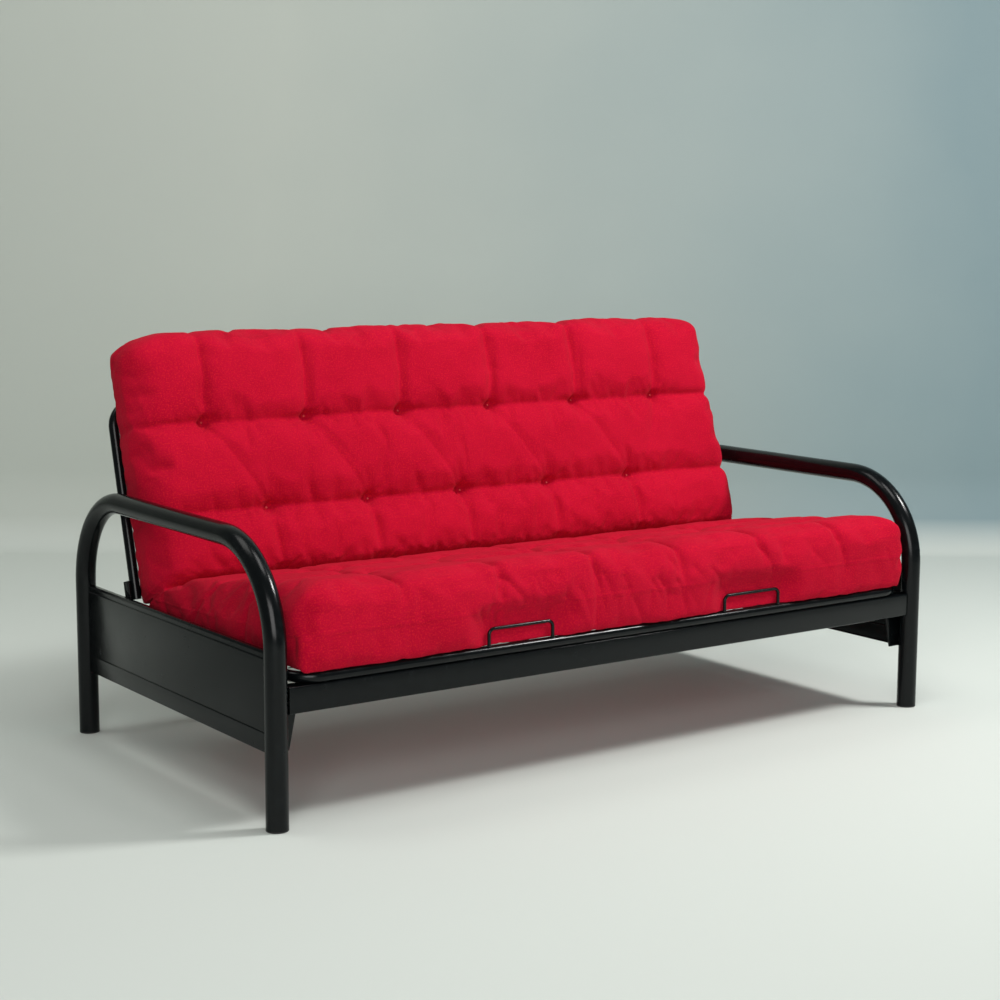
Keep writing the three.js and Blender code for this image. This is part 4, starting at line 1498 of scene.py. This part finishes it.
    def creases(self) -> list[Crease]:
        """The network of puckers that the tufts pull into the sitter's side.

        Returns:
            The puckers.
        """
        made: list[Crease] = []
        edge = self.half_width
        for row in self.rows:
            places = self.tufts[row]
            depth = self.row_depth * (0.75 if row < self.seat_length else 1.0)
            made.append(Crease((places[0], row), (-edge, row), depth, 0.4, 0.018))
            for left, right in zip(places, places[1:]):
                made.append(Crease((left, row), (right, row), depth, 1.0, 0.018, 0.25))
            made.append(Crease((places[-1], row), (edge, row), depth, 0.55, 0.018))
        for low, high in ((0.664, 0.844), (0.442, 0.664), (0.22, 0.442)):
            for start, end in zip(self.tufts[low], self.tufts[high]):
                made.append(Crease((end, high), (start, low), 0.009, 0.9, 0.012))
        for start, end in zip(self.tufts[1.073], self.tufts[0.844]):
            made.append(Crease((start, 1.073), (end, 0.844), 0.007, 0.5, 0.010))
            made.append(Crease((end, 0.844), (end - 0.012, 0.93), 0.010, 0.1, 0.011))
        made.append(Crease((self.tufts[1.073][-1], 1.073), (0.62, 0.9), 0.010, 0.1, 0.014))
        for place in self.tufts[1.073]:
            made.append(Crease((place, 1.073), (place + 0.012, self.length), 0.014, 0.8, 0.015))
        for place in self.tufts[0.22]:
            made.append(Crease((place, 0.22), (place, 0.0), 0.008, 1.0, 0.009))
        return made

    def wrinkles(self) -> list[Crease]:
        """Fine slanting folds that run out from the tufts.

        Returns:
            The folds.
        """
        made: list[Crease] = []
        for row, places in self.tufts.items():
            for number, place in enumerate(places):
                for turn in range(6):
                    angle = math.radians(18.0 + 60.0 * turn + 17.0 * ((number * 5 + turn * 3) % 4))
                    reach = 0.055 + 0.02 * ((number + turn * 2) % 3)
                    end = (place + reach * math.cos(angle), row + reach * math.sin(angle))
                    made.append(Crease((place, row), end, 0.0045, 0.0, 0.007))
        return made

    def relief(
        self, x: np.ndarray, s: np.ndarray, t: np.ndarray, out: np.ndarray
    ) -> tuple[np.ndarray, np.ndarray]:
        """The crown of the pillows and how far the tufts pull each point in.

        Args:
            x: Places across.
            s: Places along.
            t: Share of the way through, 0 on the deck's side.
            out: The box normals (across, along, through).

        Returns:
            The height over the plain box and the pull towards the middle.
        """
        network = np.zeros_like(x)
        for crease in self.creases():
            network = np.maximum(network, crease.draw(x, s))
        for crease in self.wrinkles():
            network = network + crease.draw(x, s) * (network < self.tuft_depth)
        tufts = np.zeros_like(x)
        for row, places in self.tufts.items():
            for place in places:
                away = np.hypot(x - place, s - row)
                tufts = np.maximum(tufts, self.tuft_depth * np.exp(-((away / 0.024) ** 1.2)))
        pulled = np.maximum(network, tufts)
        face = np.clip(np.abs(out[:, 2]), 0.0, 1.0)
        side = np.abs(out[:, 0])
        front = np.abs(out[:, 1])
        around = np.sin(np.pi * np.clip(t, 0.0, 1.0))
        spots = list(zip(x, s, t * 2.0))
        swell = np.array([noise.noise(Vector((a * 5.0, b * 5.0, c))) for a, b, c in spots])
        fine = np.array([noise.noise(Vector((a * 17.0, b * 17.0, c + 7.0))) for a, b, c in spots])
        lumps = swell * 0.006 + fine * 0.003
        top = out[:, 2] > 0
        crown = np.where(top, self.crown, 0.0)
        raised = face * crown * (1.0 - pulled / self.tuft_depth)
        raised += face * np.where(top, lumps, 0.0)
        edge_pull = np.clip(1.0 - pulled / self.row_depth, 0.0, 1.0)
        raised += side * self.side_crown * around * (0.8 + 0.2 * edge_pull) + side * swell * 0.002
        raised += front * self.front_crown * around * (0.1 + 0.9 * edge_pull) + front * lumps
        pulled = pulled * np.where(top, face, 0.45 * face)
        return raised, pulled

    def fold_depths(self, x: np.ndarray, s: np.ndarray) -> tuple[np.ndarray, np.ndarray]:
        """How far the fold opens into the section.

        Args:
            x: Places across.
            s: Places along.

        Returns:
            The depths from the deck's side, a slit that gapes at the ends, and from the sitter's side.
        """
        away = np.abs(s - self.seat_length)
        ends = np.clip((np.abs(x) - 0.78) / 0.135, 0.0, 1.0) ** 1.5
        outer = self.outer_crease + ends * (self.outer_crease_at_ends - self.outer_crease)
        inner = self.inner_crease + ends * (self.inner_crease_at_ends - self.inner_crease)
        return outer * np.exp(-((away / 0.007) ** 1.1)), inner * np.exp(-((away / 0.012) ** 1.5))

    def corner_droop(self, points: np.ndarray) -> np.ndarray:
        """Rounds the upper corners of the back, where the filling has slumped.

        Args:
            points: The skin's points, which are moved.

        Returns:
            The same points.
        """
        x, z = points[:, 0], points[:, 2]
        across = np.clip((-x - 0.76) / 0.155, 0.0, 1.1)
        height = np.clip((z - 0.86) / 0.16, 0.0, 1.0)
        points[:, 2] -= self.left_slump * across**2.6 * height
        right = np.clip((x - 0.55) / 0.36, 0.0, 1.0)
        points[:, 2] -= self.right_slump * right**2 * height
        return points

    def keep_clear(self, points: np.ndarray) -> np.ndarray:
        """Holds the skin off the decks, the arms and the retainer wires.

        Args:
            points: The skin's points, which are moved.

        Returns:
            The same points.
        """
        x, y, z = points[:, 0], points[:, 1], points[:, 2]
        normal = np.array([-self.back_dir[1], self.back_dir[0]])
        gap = (y - self.back_foot[0]) * normal[0] + (z - self.back_foot[1]) * normal[1]
        behind = np.minimum(gap, 0.0) * (z > self.bottom + self.foot_height)
        y -= behind * normal[0]
        z -= behind * normal[1]
        rest = self.bottom - self.tube_slope * np.clip(self.tube_top_y - y, 0.0, self.tube_overhang)
        np.maximum(z, rest, out=z)
        np.clip(x, -self.half_width - self.left_bulge, self.half_width + self.right_bulge, out=x)
        for centre in self.wire_middles:
            beside = np.clip(1.0 - (np.abs(x - centre) - self.wire_half) / self.wire_side, 0.0, 1.0)
            low = np.clip(1.0 - (z - self.wire_top) / self.wire_rise, 0.0, 1.0)
            held = beside**2 * (3.0 - 2.0 * beside) * low**2 * (3.0 - 2.0 * low)
            limit = self.wire_back - self.wire_bulge * (1.0 - held)
            np.maximum(y, limit, out=y)
        return points

    # Skin -------------------------------------------------------------------------------------

    def skin(self, points: np.ndarray) -> bpy.types.Mesh:
        """A closed mesh of quads over the grid's six faces, with its cloth map in metres.

        Args:
            points: The place of every skin point.

        Returns:
            The mesh.
        """
        grid = self.index
        nx, ns, nt = grid.shape
        quads, maps = [], []
        plain_x, plain_s = self.across, self.along
        plain_t = np.linspace(0.0, self.loft, nt)

        def lay(table: np.ndarray, u: np.ndarray, v: np.ndarray, flip: bool) -> None:
            """Adds one face of the box.

            Args:
                table: The face's point numbers.
                u: Its cloth coordinates along the table's first side.
                v: Its cloth coordinates along the second side.
                flip: Whether the quads turn the other way round.
            """
            a, b, c, d = table[:-1, :-1], table[1:, :-1], table[1:, 1:], table[:-1, 1:]
            uu, vv = np.meshgrid(u, v, indexing="ij")
            cloth = np.stack([uu, vv], axis=-1)
            corners = (cloth[:-1, :-1], cloth[1:, :-1], cloth[1:, 1:], cloth[:-1, 1:])
            order = [0, 3, 2, 1] if flip else [0, 1, 2, 3]
            quads.append(np.stack([(a, b, c, d)[o].ravel() for o in order], axis=1))
            maps.append(np.stack([corners[o].reshape(-1, 2) for o in order], axis=1))

        lay(grid[:, :, nt - 1], plain_x, plain_s, False)
        lay(grid[:, :, 0], plain_x + 3.0, plain_s, True)
        lay(grid[0, :, :], plain_s, plain_t + 2.0, True)
        lay(grid[nx - 1, :, :], plain_s, plain_t + 2.5, False)
        lay(grid[:, 0, :], plain_x, plain_t - 1.0, False)
        lay(grid[:, ns - 1, :], plain_x, plain_t - 1.5, True)
        faces = np.concatenate(quads)
        mesh = bpy.data.meshes.new("folded_mattress")
        mesh.from_pydata(points.tolist(), [], faces.tolist())
        x, s = self.across[self.cells[:, 0]], self.along[self.cells[:, 1]]
        place = np.stack([x, s, self.cells[:, 2] / self.layers * self.loft], axis=1)
        for name, values in (("place", place), ("facing", self.face)):
            kept = mesh.attributes.new(name, "FLOAT_VECTOR", "POINT")
            kept.data.foreach_set("vector", values.astype(np.float32).ravel())
        cloth = mesh.uv_layers.new(name=self.UV_NAME)
        cloth.data.foreach_set("uv", np.concatenate(maps).astype(np.float32).ravel())
        mesh.update()
        return mesh

    def gathers(self) -> tuple[list[Crease], list[Crease], list[Crease]]:
        """Fine sharp folds, made after the filling.

        Returns:
            The folds of the broad sides (across, along), of the front and top edges
            (across, height) and of the ends (along, height).
        """
        draw = random.Random(self.gather_seed)
        edge = self.half_width

        def crease(
            start: tuple[float, float],
            end: tuple[float, float],
            depths: tuple[float, float],
            fade: float,
            widths: tuple[float, float],
        ) -> Crease:
            """A fold whose depth and then width are drawn between two limits.

            Args:
                start: Its deep end.
                end: Its other end.
                depths: The least and the greatest depth.
                fade: Share of the depth left at its end.
                widths: The least and the greatest width.

            Returns:
                The fold.
            """
            depth = draw.uniform(*depths)
            return Crease(start, end, depth, fade, draw.uniform(*widths))

        broad = [
            Crease(c.start, c.end, 0.0062 if c.width > 0.016 else 0.0042, c.fade, 0.0048, c.slack)
            for c in self.creases()
        ]
        for fold in self.creases():
            if fold.width < 0.016:
                for way in (-1.0, 1.0):
                    (ax, ay), (bx, by) = fold.start, fold.end
                    aside = way * draw.uniform(0.012, 0.034)
                    near, far = draw.uniform(0.0, 0.3), draw.uniform(0.6, 1.0)
                    start = (ax + near * (bx - ax) + 0.4 * aside, ay + near * (by - ay))
                    end = (ax + far * (bx - ax) + aside, ay + far * (by - ay))
                    broad.append(crease(start, end, (0.002, 0.0045), 0.2, (0.005, 0.009)))
        for row in self.rows:
            x = -edge + 0.03
            while x < edge - 0.03:
                for way in (-1.0, 1.0):
                    if draw.random() < 0.8:
                        reach = draw.uniform(0.03, 0.085)
                        lean = draw.uniform(-0.6, 0.6)
                        start, end = (x, row + way * 0.004), (x + lean * reach, row + way * reach)
                        broad.append(crease(start, end, (0.0025, 0.0055), 0.0, (0.005, 0.009)))
                x += draw.uniform(0.025, 0.07)
        for row, places in self.tufts.items():
            for place in places:
                for turn in range(9):
                    angle = math.radians(40.0 * turn + draw.uniform(-14.0, 14.0))
                    reach = draw.uniform(0.045, 0.10)
                    end = (place + reach * math.cos(angle), row + reach * math.sin(angle))
                    broad.append(crease((place, row), end, (0.004, 0.007), 0.0, (0.005, 0.008)))
        rim = []
        for x, lean in zip(self.tufts[0.22][1:], (0.09, 0.02, 0.01, 0.05, 0.02)):
            rim.append(Crease((x, 0.17), (x + lean, 0.06), 0.014, 0.2, 0.010))
        for number in range(72):
            slack = number % 3
            x = draw.uniform(-0.46, 0.24) if slack else draw.uniform(-0.85, 0.86)
            high, reach, lean = draw.uniform(0.06, 0.165), draw.uniform(0.04, 0.12), draw.uniform(-0.5, 1.0)
            depths = (0.004, 0.009) if slack else (0.002, 0.005)
            rim.append(crease((x, high), (x + lean * reach, high - reach), depths, 0.1, (0.006, 0.011)))
        ends = []
        for row in self.rows:
            ends.append(Crease((row, 0.17), (row + 0.01, 0.05), 0.006, 0.1, 0.011))
        for _ in range(26):
            s, high = draw.uniform(0.05, self.length - 0.05), draw.uniform(0.06, 0.17)
            reach, lean = draw.uniform(0.03, 0.09), draw.uniform(-0.8, 0.8)
            end = (s + lean * reach, high - reach)
            ends.append(crease((s, high), end, (0.0015, 0.0035), 0.1, (0.005, 0.009)))
        return broad, rim, ends

    def gather(self, mesh: bpy.types.Mesh) -> None:
        """Draws the fine folds and the seam into the filled cover.

        Args:
            mesh: The mattress's mesh, which keeps each point's place and facing.
        """
        count = len(mesh.vertices)
        points, normals, place, facing = (np.empty(count * 3, np.float32) for _ in range(4))
        mesh.vertices.foreach_get("co", points)
        mesh.vertex_normals.foreach_get("vector", normals)
        mesh.attributes["place"].data.foreach_get("vector", place)
        mesh.attributes["facing"].data.foreach_get("vector", facing)
        flat = (points, normals, place, facing)
        points, normals, place, facing = (a.reshape(-1, 3).astype(float) for a in flat)
        x, s, t = place.T
        broad, rim, ends = self.gathers()
        depth = np.zeros(count)
        shares = (
            (broad, x, s, np.where(facing[:, 2] > 0, 1.0, 0.5) * np.abs(facing[:, 2])),
            (rim, x, t, np.abs(facing[:, 1]) * (s < self.seat_length)),
            (ends, s, t, np.abs(facing[:, 0])),
        )
        for folds, u, v, share in shares:
            drawn = np.zeros(count)
            for fold in folds:
                drawn = np.maximum(drawn, fold.draw(u, v)) + 0.25 * np.minimum(drawn, fold.draw(u, v))
            depth += np.minimum(drawn, self.gather_limit) * share
        seam = np.exp(-(((t - self.seam_height) / self.seam_width) ** 2))
        seam *= np.clip(np.hypot(facing[:, 0], facing[:, 1]), 0.0, 1.0)
        puff = np.array([noise.noise(Vector((a * 34.0, b * 34.0, c * 34.0))) for a, b, c in place])
        points -= normals * (depth - self.seam_ridge * seam - self.puff_height * puff)[:, None]
        mesh.vertices.foreach_set("co", self.keep_clear(points).astype(np.float32).ravel())
        for name in ("place", "facing"):
            mesh.attributes.remove(mesh.attributes[name])
        mesh.update()

    def inflate(self, piece: bpy.types.Object, start: np.ndarray) -> np.ndarray:
        """Fills the cover by a cloth simulation, its tufts and puckers held by the thread.

        Args:
            piece: The mattress, as laid out.
            start: Its points.

        Returns:
            The points after the filling, capped and clear of the frame.
        """
        held = piece.vertex_groups.new(name="held")
        firm = np.clip(self.pull / self.row_depth, 0.0, 1.0) ** 2
        resting = np.clip(-self.face[:, 2], 0.0, 1.0)
        firm = np.maximum(firm, resting)
        levels = np.round(firm * 10.0) / 10.0
        for level in np.unique(levels):
            if level > 0.0:
                held.add(np.nonzero(levels == level)[0].tolist(), float(level), "REPLACE")
        cloth = piece.modifiers.new("filling", "CLOTH")
        cloth.settings.quality = 5
        cloth.settings.mass = 0.4
        cloth.settings.tension_stiffness = 12.0
        cloth.settings.compression_stiffness = 12.0
        cloth.settings.shear_stiffness = 4.0
        cloth.settings.bending_stiffness = 0.3
        cloth.settings.air_damping = 3.0
        cloth.settings.use_pressure = True
        cloth.settings.uniform_pressure_force = 3.0
        cloth.settings.shrink_min = -0.03
        cloth.settings.vertex_group_mass = held.name
        cloth.settings.pin_stiffness = 1.5
        cloth.settings.effector_weights.gravity = 0.0
        cloth.collision_settings.use_collision = False
        cloth.point_cache.frame_start = 1
        cloth.point_cache.frame_end = self.filling_frames
        scene = bpy.context.scene
        for number in range(1, self.filling_frames + 1):
            scene.frame_set(number)
        graph = bpy.context.evaluated_depsgraph_get()
        filled = piece.evaluated_get(graph).to_mesh()
        end = np.empty(len(filled.vertices) * 3, np.float32)
        filled.vertices.foreach_get("co", end)
        piece.modifiers.clear()
        piece.vertex_groups.clear()
        scene.frame_set(1)
        moved = end.reshape(-1, 3).astype(float) - start
        reach = np.linalg.norm(moved, axis=1)
        log.info("the filling moved the cover by up to %.1f mm", 1000.0 * reach.max())
        moved *= (np.minimum(reach, self.fill_reach) / np.maximum(reach, 1e-9))[:, None]
        return self.keep_clear(start + moved)

    # Trim -------------------------------------------------------------------------------------

    def hang(self, piece: bpy.types.Object, *nodes: str) -> None:
        """Bakes a piece's transform into its mesh and hides the CAD nodes that it replaces.

        Args:
            piece: The piece.
            *nodes: CAD nodes that it replaces.
        """
        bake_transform(piece)
        if nodes:
            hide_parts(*nodes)
        log.info("%s bends from %s to %s", piece.name, Body.SEAT.value, Body.BACK.value)

    def knots(self, points: np.ndarray) -> None:
        """Small yarn knots on the sitter's side, one in each tuft except those on the fold line.

        Args:
            points: The finished skin points.
        """
        top = np.nonzero(self.cells[:, 2] == self.layers)[0]
        x = self.across[self.cells[top, 0]]
        s = self.along[self.cells[top, 1]]
        spots = []
        for row, places in self.tufts.items():
            if row == self.seat_length:
                continue
            for place in places:
                number = top[np.argmin(np.hypot(x - place, s - row))]
                normal = Vector(self.normal[number])
                spots.append((Vector(points[number]) + normal * self.knot_lift, normal))
        piece = self.shop.point_piece("tuft_knots", spots)
        sizes = {"Knot_Radius": self.knot_radius, "Yarn_Radius": self.yarn_radius}
        self.shop.knots.apply(piece, self.shop.paint.yarn, **sizes)
        self.shop.bake(piece, ALL_SMOOTH)
        piece.data.uv_layers.new(name=self.UV_NAME)
        self.hang(piece)


# ---------------------------------------------------------------------------------------------
# Studio
# ---------------------------------------------------------------------------------------------


@dataclass
class Studio:
    """A pale floor that sweeps up into a backdrop, soft lamps and the camera."""

    eye: tuple[float, float, float] = (-2.914, -4.067, 1.297)
    yaw: float = 35.288
    pitch: float = 8.097
    roll: float = 0.242
    lens: float = 69.53

    def build(self) -> None:
        """Builds the stage."""
        self.camera()
        self.sweep()
        self.lamp("key_lamp", (2.5, -1.9, 3.45), (0.1, 0.0, 0.3), 0.8, 146.0, (1.0, 0.99, 0.98))
        self.lamp("top_lamp", (-0.3, -0.9, 3.6), (-0.1, -0.1, 0.3), 1.2, 30.0, (1.0, 0.99, 0.98))
        self.lamp("front_lamp", (-3.2, -4.6, 2.2), (0.0, 0.2, 0.6), 3.0, 150.0, (1.0, 0.99, 0.98))
        self.lamp("paper_lamp", (-2.2, 1.3, 4.6), (-0.6, 3.4, 0.9), 2.4, 52.0, (1.0, 1.0, 0.96))
        world = bpy.data.worlds.new("studio_air")
        world.use_nodes = True
        world.node_tree.nodes["Background"].inputs[0].default_value = (0.6, 0.66, 0.66, 1.0)
        world.node_tree.nodes["Background"].inputs[1].default_value = 0.26
        bpy.context.scene.world = world
        bpy.context.scene.view_settings.view_transform = "Standard"

    def camera(self) -> None:
        """The camera, turned by yaw, pitch and roll."""
        yaw, pitch, roll = (math.radians(a) for a in (self.yaw, self.pitch, self.roll))
        ahead = Vector((math.sin(yaw) * math.cos(pitch), math.cos(yaw) * math.cos(pitch), -math.sin(pitch)))
        right = Vector((math.cos(yaw), -math.sin(yaw), 0.0))
        up = right.cross(ahead)
        side = right * math.cos(roll) + up * math.sin(roll)
        top = up * math.cos(roll) - right * math.sin(roll)
        data = bpy.data.cameras.new("camera")
        data.lens = self.lens
        data.sensor_width = 36.0
        data.clip_end = 60.0
        seen = bpy.data.objects.new("camera", data)
        seen.matrix_world = Matrix((side, top, -ahead)).transposed().to_4x4()
        seen.location = self.eye
        bpy.context.scene.collection.objects.link(seen)
        bpy.context.scene.camera = seen

    def sweep(self) -> None:
        """The floor and the backdrop as one smooth sheet; the backdrop's colour carries painted shade, darker
        and bluer towards the right.
        """
        far, radius, height, half = 2.55, 0.3, 9.0, 16.0
        profile = [(-14.0, 0.0), (far, 0.0)]
        profile += [
            (far + radius * math.sin(a), radius - radius * math.cos(a))
            for a in np.linspace(0.05, math.pi / 2, 20)
        ]
        profile.append((far + radius, height))
        points, faces = [], []
        for y, z in profile:
            points += [(x, y, z) for x in (-half, half)]
        for row in range(len(profile) - 1):
            faces.append((2 * row, 2 * row + 1, 2 * row + 3, 2 * row + 2))
        mesh = bpy.data.meshes.new("studio_sweep")
        mesh.from_pydata(points, [], faces)
        mesh.shade_smooth()
        made = ShaderTree("studio_paper")
        place = made.node("ShaderNodeTexCoord").outputs["Object"]
        parts = made.node("ShaderNodeSeparateXYZ")
        made.link(place, parts.inputs[0])
        # Painted shade: the backdrop turns from grey-green to a darker blue-grey towards the right, standing
        # in for light that falls off there. The upright part takes this colour and the floor stays even.
        drift = made.math("ADD", parts.outputs[0], made.noise(place, 0.9, 3.0))
        painted_falloff_shade = made.ramp(drift, -0.4, 2.4, (0.0, 1.0))
        wall = made.mix(painted_falloff_shade, (0.5, 0.535, 0.49), (0.23, 0.31, 0.33))
        upright = made.ramp(parts.outputs[2], 0.01, 0.12, (0.0, 1.0))
        made.link(made.mix(upright, (0.62, 0.66, 0.62), wall), made.shader.inputs["Base Color"])
        made.shader.inputs["Roughness"].default_value = 0.75
        made.shader.inputs["Specular IOR Level"].default_value = 0.2
        mesh.materials.append(made.material)
        sheet = bpy.data.objects.new("studio_sweep", mesh)
        sheet.rotation_euler.z = -math.radians(self.yaw)
        sheet.location.z = -0.0005
        bpy.context.scene.collection.objects.link(sheet)

    def lamp(
        self,
        name: str,
        place: tuple[float, float, float],
        target: tuple[float, float, float],
        size: float,
        power: float,
        color: tuple[float, float, float],
    ) -> None:
        """A soft square lamp.

        Args:
            name: The lamp's name.
            place: Where it hangs.
            target: What it points at.
            size: Its side length.
            power: Its power in watts.
            color: Its colour.
        """
        data = bpy.data.lights.new(name, "AREA")
        data.size = size
        data.energy = power
        data.color = color
        made = bpy.data.objects.new(name, data)
        made.location = place
        made.rotation_euler = (Vector(target) - Vector(place)).to_track_quat("-Z", "Y").to_euler()
        bpy.context.scene.collection.objects.link(made)


# ---------------------------------------------------------------------------------------------
# Assembly
# ---------------------------------------------------------------------------------------------


def main() -> None:
    """Builds the studio and every sub-assembly in order."""
    logging.basicConfig(level=logging.INFO, format="%(name)s: %(message)s")
    Studio().build()
    shop = Workshop()
    ArmFrame(shop).build()
    pivot = Vector(frame["record"]["behaviour"]["joints"][0]["pos_m"])
    home = Matrix.Translation(pivot)
    seat_place = home @ Matrix.Rotation(math.pi, 4, "Z")
    back_place = home @ Matrix.Rotation(-BACK_LEAN, 4, "X") @ Matrix.Rotation(math.pi / 2, 4, "X")
    Deck(shop, "seat_deck", Body.SEAT, SEAT_REACH, seat_place).build()
    Deck(shop, "back_deck", Body.BACK, BACK_REACH, back_place).build()
    SeatFittings(shop).build()
    Mattress(shop).build()


if __name__ == "__main__":
    main()
